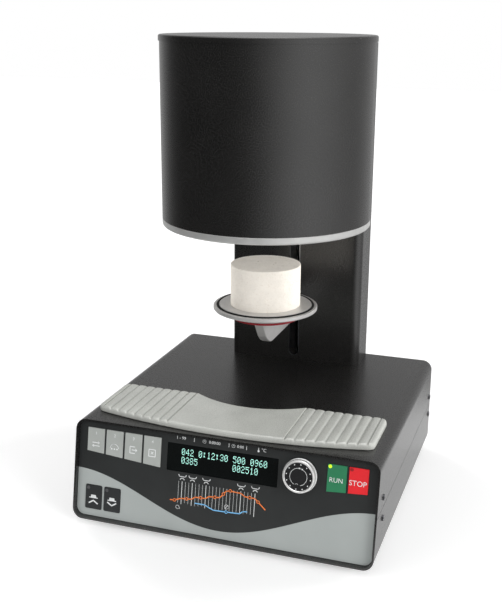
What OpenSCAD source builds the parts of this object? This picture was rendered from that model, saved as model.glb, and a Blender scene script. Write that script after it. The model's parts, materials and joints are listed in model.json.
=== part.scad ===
// Tabletop vacuum firing furnace for dental ceramics. A sheet metal base carries a sloping
// control panel and a lift column. The round firing head hangs on the column, and a table
// with an insulating block rises on an arm to close the head from below.
// Sizes are in millimetres. The origin lies under the middle of the furnace, on the surface
// that it stands on: X points right, Y points back and Z points up.
// On the panel, x runs across and s runs up the slope. Depth is measured into the panel.

/* [Base housing] */
// Width of the base housing
base_w = 320; // [314:1:336]
// Depth of the base housing at its floor
base_d = 316.5; // [308:0.5:330]
// Height of the base housing without its feet
base_h = 104.5; // [102:0.5:114]
// Backward tilt of the front panel, in degrees
panel_tilt = 10.4; // [8:0.2:13]
// Radius of the long edges of the covers
edge_r = 11; // [8:0.5:13]
// Sheet thickness of the two covers
cover_t = 2; // [1.5:0.1:2.5]
// Height of the seam between the covers above the underside
seam_h = 50; // [46:0.5:54]
// Width of the seam
seam_gap = 0.6; // [0.4:0.1:1]
// Thickness of the rear panel
rear_panel_t = 2; // [1.5:0.1:3]
// Thickness of the rails that the covers are screwed to
rail_t = 2; // [1.5:0.1:3]
// Height of the side rails
rail_h = 56; // [50:1:60]
// Radius of a cover screw's head
screw_head_r = 3; // [2.6:0.1:3.5]
// Height of a cover screw's head
screw_head_h = 1.2; // [0.8:0.1:1.6]
// Radius of a cover screw's shank
screw_r = 1.9; // [1.5:0.05:2]
// Height of the rubber feet
foot_h = 6; // [4:0.5:10]
// Radius of the rubber feet
foot_r = 12; // [9:0.5:14]
// Distance of a foot's centre from the edges of the base
foot_inset = 38; // [34:1:46]

/* [Hand rest] */
// Width of the hand rest
rest_w = 295; // [280:1:300]
// Depth of the hand rest from its nose to its rear edge
rest_d = 86.5; // [80:0.5:95]
// Thickness of the hand rest
rest_t = 7; // [6:0.5:9]
// Distance from the top of the panel to the nose of the hand rest
rest_setback = 5.4; // [4:0.2:9]
// Radius of the bowed front edge
rest_bow_r = 585; // [500:5:700]
// Radius of the corners in plan
rest_corner_r = 9; // [7:0.5:12]
// Radius that rounds the upper edge
rest_top_round = 3; // [2:0.5:4.5]
// Radius that rounds the lower edge
rest_low_round = 1.6; // [0.8:0.2:2]
// Half the width of the recess in the rear edge
recess_half_w = 60.5; // [50:0.5:64]
// Depth of the recess in the rear edge
recess_depth = 20; // [12:1:26]
// Distance from one rib to the next
rib_pitch = 10; // [8:0.5:11]
// Number of valleys at each end
rib_count = 9; // [6:1:9]
// Depth of the valleys between the ribs
rib_depth = 1.4; // [0.6:0.1:2]
// Distance from the last valley to the start of the corner's curve
rib_gap = 0.5; // [0.5:0.5:5]

/* [Front panel] */
// Depth of the panel face behind the edge of the covers
panel_recess = 5; // [3:0.5:6]
// Thickness of the printed film
film_t = 0.5; // [0.3:0.1:0.8]
// Thickness of the panel plate
plate_t = 3; // [2:0.5:4]
// Gap between a key and its window
key_gap = 0.3; // [0.2:0.05:0.4]
// Height of a key above the film
key_proud = 0.6; // [0.5:0.1:1]
// Travel of a key when it is pressed
key_travel = 0.5; // [0.3:0.1:0.7]
// Gap between neighbouring keys
key_space = 2.3; // [2.1:0.1:3]
// Distance from one key to the next in its row
key_pitch = 21.2; // [20.8:0.1:21.6]
// Distance from the side of the base to the first key
key_margin = 11.8; // [10:0.2:14]
// Distance from the top of the panel to the keys' upper edge
key_top = 9.2; // [8.6:0.2:11]
// Distance from the top of the panel to the keys' lower edge beside the display
key_bottom = 39.8; // [38:0.2:41]
// Rise of the keys' lower edge for each millimetre away from the display
key_slope = 0.0734; // [0:0.01:0.12]
// Height of the lift keys' lower edge on the panel
lift_key_s = 10.8; // [9.5:0.2:12]
// Height of a lift key
lift_key_h = 25.5; // [22:0.5:26]
// Distance from the side of the base to the first lift key
lift_key_margin = 11.8; // [10:0.2:14]
// Corner radius of a lift key
lift_key_r = 1.6; // [1:0.1:2.5]
// Gap between the display window and the keys beside it
display_gap = 7; // [6:0.1:10]
// Height of the display window
display_h = 29; // [27:0.5:31]
// Distance from the top of the panel to the display window
display_top = 12.2; // [11:0.2:13]

/* [Selector knob] */
// Radius of the knob at its foot
knob_r = 17; // [15:0.25:18]
// Radius of the knob at its top
knob_top_r = 16.3; // [14.5:0.1:17]
// Height of the knob
knob_h = 7.2; // [6:0.2:10]
// Radius of the dark cap in the knob
knob_cap_r = 13.75; // [12:0.25:14]
// Gap between the knob and the keys beside it
knob_side = 9.6; // [8:0.2:11]
// Distance of the knob from the top of the panel
knob_top = 24.7; // [24:0.1:26]
// Gap between the knob and the film
knob_gap = 0.9; // [0.8:0.1:1.4]
// Radius of the selector shaft
shaft_r = 3; // [2.5:0.1:3]
// Travel of the selector when it is pushed
push_travel = 0.5; // [0.3:0.1:0.6]

/* [Column] */
// Width of the column
column_w = 158; // [154:1:166]
// Depth of the column
column_d = 46.5; // [46:0.5:50]
// Distance of the column from the rear of the base
column_inset = 4; // [2:0.5:6]
// Height of the column above the base
column_h = 372; // [350:1:380]
// Radius of the column's front edges
column_r = 9; // [5:0.5:11]
// Sheet thickness of the column
column_t = 1.5; // [1.2:0.1:2]
// Width of the slot for the lift arm
slot_w = 11.6; // [11.2:0.1:13]
// Height of the slot's lower end above the base
slot_low = 5.9; // [4:0.5:8]
// Room for the vacuum hose on each side of the steel spine channel
hose_room = 15.5; // [14.5:0.1:17.5]
// Thickness of the spine channel
spine_t = 2.5; // [2:0.1:3]
// Width of the spine channel's front lips
spine_lip = 16; // [12:1:18]

/* [Lift] */
// Height of the table rim above the base, as the furnace stands open
table_open_h = 101.3; // [98:0.5:104]
// Travel of the table below that height
travel_down = 48; // [40:1:48]
// Radius of the guide rods
rod_r = 5; // [4:0.5:6]
// Distance of a guide rod from the side of the carriage
rod_margin = 16; // [14:0.5:20]
// Radius of the lead screw
lead_r = 5; // [4:0.5:6]
// Running clearance on the rods and the screw
running_gap = 0.05; // [0.02:0.01:0.08]
// Height of the carriage
carriage_h = 44; // [38:1:46]
// Room between the carriage and the sides of the spine channel
carriage_side = 8; // [6:0.5:12]
// Outer radius of a guide bush
bush_r = 9.5; // [8:0.5:10]
// Thickness of a bearing plate
bearing_t = 8; // [6:0.5:10]
// Side of the square lift motor
motor_w = 35; // [28:1:36]
// Height of the lift motor
motor_h = 48; // [40:1:52]
// Thickness of the lift arm's web
web_t = 10; // [8:0.5:10.4]
// Height of the lift arm's web
web_h = 31.1; // [28:0.1:36]
// Reach of the web in front of the table's centre
web_reach = 25.6; // [22:0.1:32]
// Radius of the web's front edges
web_edge_r = 1.5; // [1:0.1:3]
// Half the width of the arm's foot on the carriage
arm_foot_half_w = 20; // [16:0.5:24]

/* [Table] */
// Outer radius of the table plate
table_r = 56; // [54:0.25:60]
// Thickness of the table's rim
rim_t = 4.2; // [2:0.1:5]
// Thickness of the table plate under the rim's upper face
table_t = 10.4; // [8:0.1:12]
// Height of the raised middle above the rim
dais_h = 1; // [0.6:0.1:1.2]
// Radius of the seal ring's section
seal_r = 1.2; // [1:0.1:1.4]
// Radius of the seal ring
seal_ring_r = 51.4; // [50:0.1:52.5]
// Radius of the arm's disc under the table
carrier_r = 34.4; // [32:0.2:36]
// Thickness of the arm's disc
carrier_t = 3; // [2.5:0.5:4]
// Height of the red gasket
gasket_h = 2.5; // [2:0.1:2.5]
// Outer radius of the red gasket
gasket_r = 37.2; // [36:0.2:39]
// Radius of the insulating block
block_r = 37.6; // [34:0.2:39]
// Height of the insulating block above the table
block_h = 44.4; // [40:0.5:48]
// Depth of the seat that locates the block
block_seat = 1.5; // [1:0.1:2]

/* [Firing head] */
// Outer radius of the head
head_r = 108.9; // [107:0.1:112]
// Gap between the head and the column
head_gap = 2.7; // [2:0.1:4]
// Height from the base to the head's underside
opening_h = 191; // [188:1:194]
// Thickness of the ring under the head
ring_t = 7.5; // [6.5:0.5:9]
// Width of the ring's rounded lower edge
ring_round = 2.6; // [1:0.2:3]
// Radius of the opening for the table's block
mouth_r = 42; // [41:0.5:43]
// Height of the head's shell
shell_h = 182.5; // [176:0.5:188]
// Sheet thickness of the head's shell
shell_t = 1.5; // [1.2:0.1:2]
// Height of the lid's rim
lid_h = 6; // [5:0.5:9]
// Sheet thickness of the lid
lid_t = 1.5; // [1.2:0.1:2]
// Distance the lid's rim stands out from the shell
lid_lap = 1.1; // [0.8:0.1:2]
// Inner radius of the quartz muffle
muffle_r = 44.8; // [44.2:0.1:45.5]
// Wall of the quartz muffle
muffle_t = 4.2; // [3.5:0.1:5]
// Height of the firing chamber
chamber_h = 94; // [88:1:100]
// Outer radius of the insulation
insulation_r = 98.5; // [94:0.5:100]
// Thickness of the insulation above the chamber
ceiling_t = 30; // [26:1:36]
// Sheet thickness of the inner can
can_t = 1.2; // [0.8:0.1:1.5]
// Radius of the heating wire
wire_r = 1; // [0.8:0.1:1.2]
// Number of turns of the heating wire
wire_turns = 11; // [8:1:12]
// Radius of the thermocouple's sheath
probe_r = 2.5; // [2:0.1:3]
// Distance of the saddle's sides from the sides of the column
saddle_margin = 4; // [3:0.5:7]
// Height of the saddle
saddle_h = 100; // [90:1:110]
// Height of the saddle above the ring
saddle_rise = 17; // [12:1:22]

/* [Rear and inside] */
// Radius of the vacuum nozzle's outer end
nozzle_r = 4; // [3.5:0.1:4.5]
// Length of the nozzle outside the rear panel
nozzle_out = 16; // [12:1:20]
// Radius of the nozzle's bore
nozzle_bore_r = 2.2; // [1.5:0.1:2.5]
// Outer radius of the vacuum hose
hose_r = 4; // [3.5:0.1:4.2]
// Radius of the hose's bends
hose_bend_r = 14; // [12:0.5:14]
// Side of the fan
fan_w = 60; // [56:1:62]
// Thickness of the fan
fan_t = 20; // [15:1:25]
// Radius of the transformer
transformer_r = 46; // [40:1:50]
// Height of the transformer
transformer_h = 42; // [36:1:50]

/* [Hidden] */
$fn = 96;

// Fits and small allowances
fit = 0.3;
over = 1;

// Colours
powder_black = [0.09, 0.09, 0.095];
film_dark = [0.17, 0.18, 0.18];
key_grey = [0.62, 0.64, 0.62];
rest_grey = [0.74, 0.75, 0.72];
satin = [0.72, 0.73, 0.74];
steel = [0.6, 0.61, 0.63];
block_white = [0.93, 0.91, 0.87];
red_rubber = [0.6, 0.08, 0.1];
board_green = [0.1, 0.35, 0.2];

// Places along the depth of the furnace
overall_d = base_d + nozzle_out;
front_y = -overall_d / 2;
rear_y = front_y + base_d;
column_rear_y = rear_y - column_inset;
column_front_y = column_rear_y - column_d;
head_y = column_front_y - head_gap - head_r;

// Heights above the surface that the furnace stands on
base_top = foot_h + base_h;
floor_z = foot_h + cover_t;
seam_z = foot_h + seam_h;
column_top = base_top + column_h;
ring_z = base_top + opening_h;
shell_z = ring_z + ring_t;
shell_top = shell_z + shell_h;
table_z = base_top + table_open_h;

// Panel levels, as depths behind the edge of the covers
panel_len = base_h / cos(panel_tilt);
film_depth = panel_recess;
plate_depth = film_depth + film_t;
plate_back = plate_depth + plate_t;
panel_half_w = base_w / 2 - cover_t - fit;
key_lip = 0.7;
key_flange_t = 1.2;
flange_depth = plate_back + 0.1;
switch_top = flange_depth + key_flange_t + key_travel + 0.2;
board_depth = plate_back + 11.5;
board_t = 1.6;
board_edge = 8;
display_module_t = 9;
switch_w = 6;

// Key places
key_w = key_pitch - key_space;
key_left = -base_w / 2 + key_margin;
lift_key_left = -base_w / 2 + lift_key_margin;
run_key_left = base_w / 2 - key_margin - key_pitch - key_w;
key_top_s = panel_len - key_top;
display_half_w = -(key_left + 3 * key_pitch + key_w + display_gap);
knob_x = run_key_left - knob_side - knob_r;

// Lift geometry
spine_w = column_w - 2 * column_t - 2 * hose_room;
carriage_half_w = spine_w / 2 - carriage_side;
rod_half_x = carriage_half_w - rod_margin;
spine_front = column_front_y + column_t + fit;
spine_back = column_rear_y - column_t - fit;
rod_y = (spine_front + spine_back) / 2;
carriage_gap = 1.2;
carriage_front = spine_front + spine_t + carriage_gap + 1;
carriage_back = spine_back - spine_t - carriage_gap;
carrier_z = table_z - table_t - carrier_t;
web_low = carrier_z - web_h;
carriage_z = web_low + (web_h - carriage_h) / 2;
travel_up = ring_z - table_z - dais_h - seal_r / 4 - 0.2;
slot_high = ring_z + slot_w;
lower_plate_top = carriage_z - travel_down - 3;
upper_plate_low = carriage_z + carriage_h + travel_up + 4;
rod_overhang = 6;
screw_low = floor_z + motor_h - 16;

// Fan, power entry and hose places
fan_x = -base_w / 2 + cover_t + fan_w / 2 + 14;
fan_z = foot_h + base_h / 2;
fan_front_y = rear_y - rear_panel_t - fan_t;
fan_bore_r = fan_w / 2 - 1.5;
fan_hub_t = 2;
fan_shaft_r = 1.5;
fan_shaft_l = 15.4;
fan_rotor_gap = 0.6;
power_x = base_w / 2 - 46;
inlet_rise = 30;
switch_rise = 42;
inlet_z = foot_h + inlet_rise;
switch_z = inlet_z + switch_rise;
rocker_rest = 9;
hose_x = (spine_w / 2 + column_w / 2 - column_t) / 2;
hose_y = rear_y - 26.5;
nozzle_z = foot_h + 46;
hose_top_z = shell_z + saddle_rise + saddle_h / 2;

// Rounded rectangle that stands on the X axis, centred across
module rounded_rect(w, h, r) {
    translate([-w / 2 + r, 0])
        square([w - 2 * r, h]);
    translate([-w / 2, r])
        square([w, h - 2 * r]);
    for (x = [-w / 2 + r, w / 2 - r], y = [r, h - r])
        translate([x, y])
            circle(r);
}

// Ring or tube that stands on the given height
module tube(outer, inner, z, h) {
    translate([0, 0, z])
        difference() {
            cylinder(r = outer, h = h);
            translate([0, 0, -over])
                cylinder(r = inner, h = h + 2 * over);
        }
}

// Cylinder along Y from y0 to y1
module rod_y(r, x, z, y0, y1) {
    translate([x, y0, z])
        rotate([-90, 0, 0])
            cylinder(r = r, h = y1 - y0);
}

// Box from its two corners
module box(low, high) {
    translate(low)
        cube(high - low);
}

// Moves its children to the panel, at a depth behind the edge of the covers
module on_panel(depth = 0) {
    translate([0, front_y, foot_h])
        rotate([90 - panel_tilt, 0, 0])
            translate([0, 0, -depth])
                children();
}

// Slab on the panel from one depth to a deeper one
module panel_slab(from, to) {
    on_panel(to)
        linear_extrude(to - from)
            children();
}

// Whole housing as one block, shrunk by an inset
module housing_block(inset) {
    translate([0, rear_y + over, foot_h + inset])
        rotate([90, 0, 0])
            linear_extrude(base_d + 2 * over)
                rounded_rect(base_w - 2 * inset, base_h - 2 * inset, edge_r - inset);
}

// Everything in front of the panel at a depth, and everything behind the rear edge
module outside_housing(depth = 0) {
    on_panel(depth)
        translate([-base_w, -base_h, 0])
            cube([2 * base_w, 3 * base_h, base_h]);
    box([-base_w, rear_y, -over], [base_w, rear_y + base_h, base_top + over]);
}

// Places of the cover screws on one side, as [y, z]
function cover_screw_places() = [
    for (y = [front_y + 36.5, rear_y - 8], dz = [-11, 11]) [y, seam_z + dz]
];

// Cuts the holes of the cover screws through the covers or the rails
module cover_screw_holes(r) {
    for (side = [-1, 1], p = cover_screw_places())
        translate([side * base_w / 2, p[0], p[1]])
            rotate([0, 90, 0])
                cylinder(r = r, h = 30, center = true);
}

// Where the column's spine and hose pass down into the base
module column_passage() {
    box(
        [-hose_x - hose_r - 2, column_front_y + column_t, base_top - 4 * cover_t],
        [hose_x + hose_r + 2, column_rear_y - column_t, base_top + over]
    );
}

module base_tray() {
    color(powder_black)
        difference() {
            housing_block(0);
            housing_block(cover_t);
            outside_housing();
            box([-base_w, front_y - over, seam_z], [base_w, rear_y + over, base_top + over]);
            cover_screw_holes(screw_r + 0.2);
        }
}

module top_cover() {
    color(powder_black)
        difference() {
            housing_block(0);
            housing_block(cover_t);
            outside_housing();
            box([-base_w, front_y - over, -over], [base_w, rear_y + over, seam_z + seam_gap]);
            cover_screw_holes(screw_r + 0.2);
            column_passage();
            for (p = rest_stud_places())
                translate([p[0], p[1], base_top - 3 * cover_t])
                    cylinder(r = rest_stud_r + 0.2, h = 4 * cover_t);
        }
}

module side_rails() {
    outer = base_w / 2 - cover_t - 0.1;
    color(steel)
        difference() {
            for (side = [-1, 1])
                box(
                    [min(side * outer, side * (outer - rail_t)), front_y, seam_z - rail_h / 2],
                    [max(side * outer, side * (outer - rail_t)), rear_y - rear_panel_t,
                        seam_z + rail_h / 2]
                );
            outside_housing(plate_back + 0.1);
            cover_screw_holes(screw_r + 0.1);
        }
}

module cover_screws() {
    color(steel)
        for (side = [-1, 1], p = cover_screw_places())
            translate([side * base_w / 2, p[0], p[1]])
                rotate([0, side * 90, 0])
                    difference() {
                        union() {
                            cylinder(r = screw_head_r, h = screw_head_h);
                            translate([0, 0, -7])
                                cylinder(r = screw_r, h = 7 + over / 2);
                        }
                        translate([0, 0, screw_head_h - 0.7])
                            cylinder(r = 1.2, h = 1, $fn = 6);
                    }
}

module rubber_feet() {
    color(powder_black)
        for (x = [-1, 1], y = [front_y + foot_inset, rear_y - foot_inset])
            translate([x * (base_w / 2 - foot_inset), y, 0])
                rotate_extrude()
                    polygon([[0, 0], [foot_r - 1.5, 0], [foot_r, 1.5], [foot_r, foot_h], [0, foot_h]]);
}

module rear_panel() {
    color(powder_black)
        difference() {
            translate([0, rear_y, foot_h + cover_t + fit])
                rotate([90, 0, 0])
                    linear_extrude(rear_panel_t)
                        rounded_rect(
                            base_w - 2 * cover_t - 2 * fit,
                            base_h - 2 * cover_t - 2 * fit,
                            edge_r - cover_t - fit
                        );
            for (i = [-4:4])
                box(
                    [fan_x + i * 5.6 - 1.6, rear_y - rear_panel_t - over,
                        fan_z - sqrt(27 * 27 - pow(i * 5.6, 2))],
                    [fan_x + i * 5.6 + 1.6, rear_y + over,
                        fan_z + sqrt(27 * 27 - pow(i * 5.6, 2))]
                );
            box([power_x - inlet_w / 2 - 0.2, rear_y - rear_panel_t - over, inlet_z - inlet_h / 2 - 0.2],
                [power_x + inlet_w / 2 + 0.2, rear_y + over, inlet_z + inlet_h / 2 + 0.2]);
            box([power_x - switch_half_w - 0.2, rear_y - rear_panel_t - over,
                    switch_z - switch_half_h - 0.2],
                [power_x + switch_half_w + 0.2, rear_y + over, switch_z + switch_half_h + 0.2]);
            rod_y(nozzle_r + 1.1, hose_x, nozzle_z, rear_y - rear_panel_t - over, rear_y + over);
        }
}

// Hand rest

rest_stud_r = 2;
rest_stud_h = 7;
rest_nose_y = front_y + base_h * tan(panel_tilt) + rest_setback;
rest_rear_y = rest_nose_y + rest_d;
rest_cx = rest_w / 2 - rest_corner_r;
bow_half_angle = asin(rest_cx / (rest_bow_r - rest_corner_r));
bow_y = rest_nose_y + rest_bow_r;
rest_cy = bow_y - (rest_bow_r - rest_corner_r) * cos(bow_half_angle);
recess_r = (pow(recess_half_w, 2) + pow(recess_depth, 2)) / (2 * recess_depth);
recess_y = rest_rear_y - recess_depth + recess_r;

function rest_stud_places() = [
    for (x = [-1, 1], y = [rest_nose_y + 30, rest_rear_y - 14]) [x * rest_w * 0.38, y]
];

rest_steps = 4;
rib_far = rest_cx - rib_gap;
rib_start = rib_far - rib_pitch * (rib_count - 1);
rib_crest_r = (pow(rib_pitch / 2, 2) + pow(rib_depth, 2)) / (2 * rib_depth);
rib_relief = 0.1;
rib_flat = 0.15;
rib_run_out = 1.5;

// Lower height, upper height and inset of slab k in the rest's stepped edge
function rest_slab(k) = [
    k > rest_steps / 2 ? rest_t / 2 : rest_low_round * (1 - 2 * k / rest_steps),
    rest_t - rest_top_round * (1 - sin(90 * k / rest_steps)),
    rest_top_round * (1 - cos(90 * k / rest_steps))
];

// Outline of the hand rest, drawn in by an inset
module rest_plan(inset) {
    r = rest_corner_r - inset;
    bow = rest_bow_r - inset;
    bow_x = bow * sin(bow_half_angle);
    half = rest_w / 2 - inset;
    corner_y = rest_rear_y - rest_corner_r;
    difference() {
        union() {
            intersection() {
                translate([0, bow_y])
                    circle(r = bow);
                translate([-bow_x, rest_nose_y])
                    square([2 * bow_x, rest_cy + r - rest_nose_y]);
            }
            translate([-rest_cx, rest_cy])
                square([2 * rest_cx, corner_y + r - rest_cy]);
            translate([-half, rest_cy])
                square([2 * half, corner_y - rest_cy]);
            for (x = [-rest_cx, rest_cx], y = [rest_cy, corner_y])
                translate([x, y])
                    circle(r = r);
        }
        translate([0, recess_y])
            circle(r = recess_r + inset);
    }
}

// Section of the valleys between the ribs at the right end
module rib_valleys() {
    valley = rest_t - rib_relief - rib_depth + rib_flat;
    difference() {
        polygon([
            [rib_start, valley],
            [rib_far, valley],
            [rib_far + rib_run_out, rest_t + 1],
            [rib_start - rib_run_out, rest_t + 1]
        ]);
        for (i = [0:rib_count - 2])
            translate([rib_start + rib_pitch * (i + 0.5), rest_t - rib_relief - rib_crest_r])
                circle(r = rib_crest_r);
    }
}

module hand_rest() {
    color(rest_grey)
        union() {
            difference() {
                union()
                    for (k = [0:rest_steps])
                        translate([0, 0, base_top + rest_slab(k)[0]])
                            linear_extrude(height = rest_slab(k)[1] - rest_slab(k)[0])
                                rest_plan(rest_slab(k)[2]);
                for (side = [0, 1])
                    mirror([side, 0, 0])
                        translate([0, rest_rear_y + 1, base_top])
                            rotate([90, 0, 0])
                                linear_extrude(height = rest_rear_y - rest_nose_y + 2)
                                    rib_valleys();
            }
            for (p = rest_stud_places())
                translate([p[0], p[1], base_top - rest_stud_h])
                    cylinder(r = rest_stud_r, h = rest_stud_h + rest_t / 2);
        }
}

// Front panel

// Height of the keys' slanted lower edge at x
function key_low_s(x) =
    panel_len - key_bottom + key_slope * (abs(x) - display_half_w - 6);

// Outline of a key of the upper row that starts at x, grown by a margin
module row_key_shape(x, grow = 0) {
    polygon([
        [x - grow, key_low_s(x) - grow],
        [x + key_w + grow, key_low_s(x + key_w) - grow],
        [x + key_w + grow, key_top_s + grow],
        [x - grow, key_top_s + grow]
    ]);
}

// Outline of a lift key that starts at x, grown by a margin
module lift_key_shape(x, grow = 0) {
    translate([x + key_w / 2, lift_key_s - grow])
        rounded_rect(key_w - 0.4 + 2 * grow, lift_key_h + 2 * grow, lift_key_r + grow);
}

// Places of the six keys in the upper row
function row_key_places() = concat(
    [for (i = [0:3]) key_left + i * key_pitch],
    [for (i = [0:1]) run_key_left + i * key_pitch]
);

// Places of the two lift keys
function lift_key_places() = [for (i = [0:1]) lift_key_left + i * key_pitch];

// Windows of the keys, the display and the selector
module panel_windows(selector_r) {
    for (x = row_key_places())
        row_key_shape(x, key_gap);
    for (x = lift_key_places())
        lift_key_shape(x, key_gap);
    translate([0, panel_len - display_top - display_h])
        translate([-display_half_w, 0])
            square([2 * display_half_w, display_h]);
    translate([knob_x, panel_len - knob_top])
        circle(selector_r);
}

bush_outer_r = 4.5;

// Outline of a sheet that fills the mouth of the covers from one depth to a deeper one
module panel_sheet(from, to) {
    low = (cover_t + fit + to * sin(panel_tilt)) / cos(panel_tilt);
    high = (base_h - cover_t - fit + from * sin(panel_tilt)) / cos(panel_tilt);
    translate([0, low])
        rounded_rect(2 * panel_half_w, high - low, edge_r - cover_t - fit);
}

module panel_plate() {
    color(powder_black) {
        panel_slab(plate_depth, plate_back)
            difference() {
                panel_sheet(plate_depth, plate_back);
                panel_windows(bush_outer_r + 0.1);
            }
        for (p = standoff_places())
            on_panel(board_depth)
                translate(p)
                    cylinder(r = 2.5, h = board_depth - plate_back + plate_t / 2);
    }
}

module panel_overlay() {
    color(film_dark)
        panel_slab(film_depth, plate_depth)
            difference() {
                panel_sheet(film_depth, plate_depth);
                panel_windows(bush_outer_r + 0.6);
            }
}

module program_key() {
    color(key_grey)
        row_key(key_left);
}

module curve_key() {
    color(key_grey)
        row_key(key_left + key_pitch);
}

module enter_key() {
    color(key_grey)
        row_key(key_left + 2 * key_pitch);
}

module escape_key() {
    color(key_grey)
        row_key(key_left + 3 * key_pitch);
}

module run_key() {
    color([0.16, 0.55, 0.38])
        row_key(run_key_left);
}

module stop_key() {
    color([0.93, 0.12, 0.16])
        row_key(run_key_left + key_pitch);
}

module lift_up_key() {
    color(film_dark)
        lift_key(lift_key_left);
}

module lift_down_key() {
    color(film_dark)
        lift_key(lift_key_left + key_pitch);
}

// Key of the upper row: a cap through the panel and a wider flange behind it
module row_key(x) {
    panel_slab(film_depth - key_proud, flange_depth + key_flange_t / 2)
        row_key_shape(x);
    panel_slab(flange_depth, flange_depth + key_flange_t)
        row_key_shape(x, key_lip);
}

// Lift key with the same build and rounded corners
module lift_key(x) {
    panel_slab(film_depth - key_proud, flange_depth + key_flange_t / 2)
        lift_key_shape(x);
    panel_slab(flange_depth, flange_depth + key_flange_t)
        lift_key_shape(x, key_lip);
}

module display_window() {
    color([0.03, 0.05, 0.05, 0.5])
        panel_slab(film_depth + 0.2, plate_back)
            translate([-display_half_w + 0.15, panel_len - display_top - display_h + 0.15])
                square([2 * display_half_w - 0.3, display_h - 0.3]);
}

module display_module() {
    color([0.04, 0.05, 0.05])
        panel_slab(plate_back, plate_back + display_module_t)
            translate([-display_half_w - 2, panel_len - display_top - display_h - 3])
                square([2 * display_half_w + 4, display_h + 6]);
}

// Centres of the eight key switches on the control board
function switch_places() = concat(
    [for (x = row_key_places()) [x + key_w / 2, (key_top_s + key_low_s(x)) / 2]],
    [for (x = lift_key_places()) [x + key_w / 2, lift_key_s + lift_key_h / 2]]
);

// Centres of the studs that carry the control board
function standoff_places() = [
    for (x = [-1, 1], s = [16, 48]) [x * 78, s]
];

module control_board() {
    color(board_green) {
        panel_slab(board_depth, board_depth + board_t)
            translate([-base_w / 2 + board_edge, board_edge + 4])
                square([base_w - 2 * board_edge, panel_len - 2 * board_edge - 6]);
        for (p = switch_places())
            on_panel(board_depth + board_t / 2)
                translate([p[0] - switch_w / 2, p[1] - switch_w / 2, 0])
                    cube([switch_w, switch_w, board_depth + board_t / 2 - switch_top]);
    }
}

// Selector knob with push switch

// Moves its children to the selector's axis, at a depth behind the edge of the covers
module on_selector(depth) {
    on_panel(depth)
        translate([knob_x, panel_len - knob_top, 0])
            children();
}

knob_foot = film_depth - knob_gap;
plunger_t = 1.5;
plunger_top = plate_back + 5;
hub_r = 6;

module encoder_body() {
    color(steel)
        difference() {
            union() {
                on_selector(plate_back + 8)
                    translate([-7, -7, 0])
                        cube([14, 14, 8]);
                on_selector(plate_back + 1)
                    cylinder(r = bush_outer_r, h = plate_t + film_t + 1);
            }
            on_selector(plunger_top + plunger_t + push_travel + 0.2)
                cylinder(r = 5.5, h = plunger_t + push_travel + 1.2);
            on_selector(plunger_top)
                cylinder(r = shaft_r + running_gap, h = 20);
        }
}

module encoder_plunger() {
    color(steel)
        on_selector(plunger_top + plunger_t)
            cylinder(r = 5, h = plunger_t);
}

module encoder_shaft() {
    color(steel)
        on_selector(plunger_top)
            cylinder(r = shaft_r, h = plunger_top - knob_foot + knob_h - 2.6);
}

module knob_ring() {
    color(satin)
        on_selector(knob_foot)
            difference() {
                rotate_extrude()
                    polygon([
                        [0, 0.4], [knob_r - 1, 0.4], [knob_r - 1, 0], [knob_r - 0.3, 0], [knob_r, 0.3],
                        [knob_r, 1.6], [knob_r - 0.5, 2], [knob_top_r, knob_h - 1.2],
                        [knob_top_r - 0.5, knob_h - 0.4], [knob_top_r - 1.3, knob_h],
                        [knob_cap_r + 0.6, knob_h], [knob_cap_r + 0.1, knob_h - 0.6],
                        [knob_cap_r + 0.1, knob_h - 2], [0, knob_h - 2]
                    ]);
                translate([0, 0, -over])
                    cylinder(r = shaft_r + 0.02, h = knob_h - 2 - 0.6 + over);
                tube(knob_r - 3, hub_r, -over, knob_h - 3.2 + over);
            }
}

module knob_cap() {
    color([0.06, 0.06, 0.065])
        on_selector(knob_foot - knob_h + 2)
            cylinder(r = knob_cap_r, h = 1.6);
}

// Parts inside the base

transformer_side = 24;

module transformer() {
    translate([-base_w / 2 + cover_t + transformer_side + transformer_r, head_y, floor_z]) {
        color([0.75, 0.45, 0.15])
            rotate_extrude()
                translate([transformer_r * 0.66, transformer_h / 2])
                    union() {
                        square([transformer_r * 0.68 - 12, transformer_h], center = true);
                        square([transformer_r * 0.68, transformer_h - 12], center = true);
                        for (u = [-1, 1], v = [-1, 1])
                            translate([u * (transformer_r * 0.34 - 6), v * (transformer_h / 2 - 6)])
                                circle(6);
                    }
        color(steel)
            translate([0, 0, transformer_h])
                cylinder(r = transformer_r * 0.6, h = 2);
        color(steel)
            cylinder(r = 4, h = transformer_h + 6);
    }
}

power_board_w = 110;
power_board_d = 90;
power_board_left = 20;
power_board_ahead = 50;
post_h = 6;
post_inset = 6;
sink_h = 30.4;
capacitor_h = 26;

module power_board() {
    deck = post_h + board_t;
    translate([power_board_left, head_y - power_board_ahead, floor_z]) {
        color(board_green)
            box([0, 0, post_h], [power_board_w, power_board_d, deck]);
        for (x = [post_inset, power_board_w - post_inset], y = [post_inset, power_board_d - post_inset])
            translate([x, y, 0])
                cylinder(r = 3, h = post_h + board_t / 2);
        color(satin)
            for (i = [0:5])
                box([12 + i * 7, 8, deck], [14 + i * 7, 40, deck + sink_h]);
        color(satin)
            box([12, 8, deck - board_t / 2], [49, 40, deck + 4.4]);
        for (x = [68, 92])
            translate([x, 26, deck - board_t / 2])
                cylinder(r = 10, h = capacitor_h + board_t / 2);
        box([60, 56, deck - board_t / 2], [84, 80, deck + 16.4]);
        box([14, 54, deck - board_t / 2], [46, 78, deck + 12.4]);
    }
}

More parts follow.
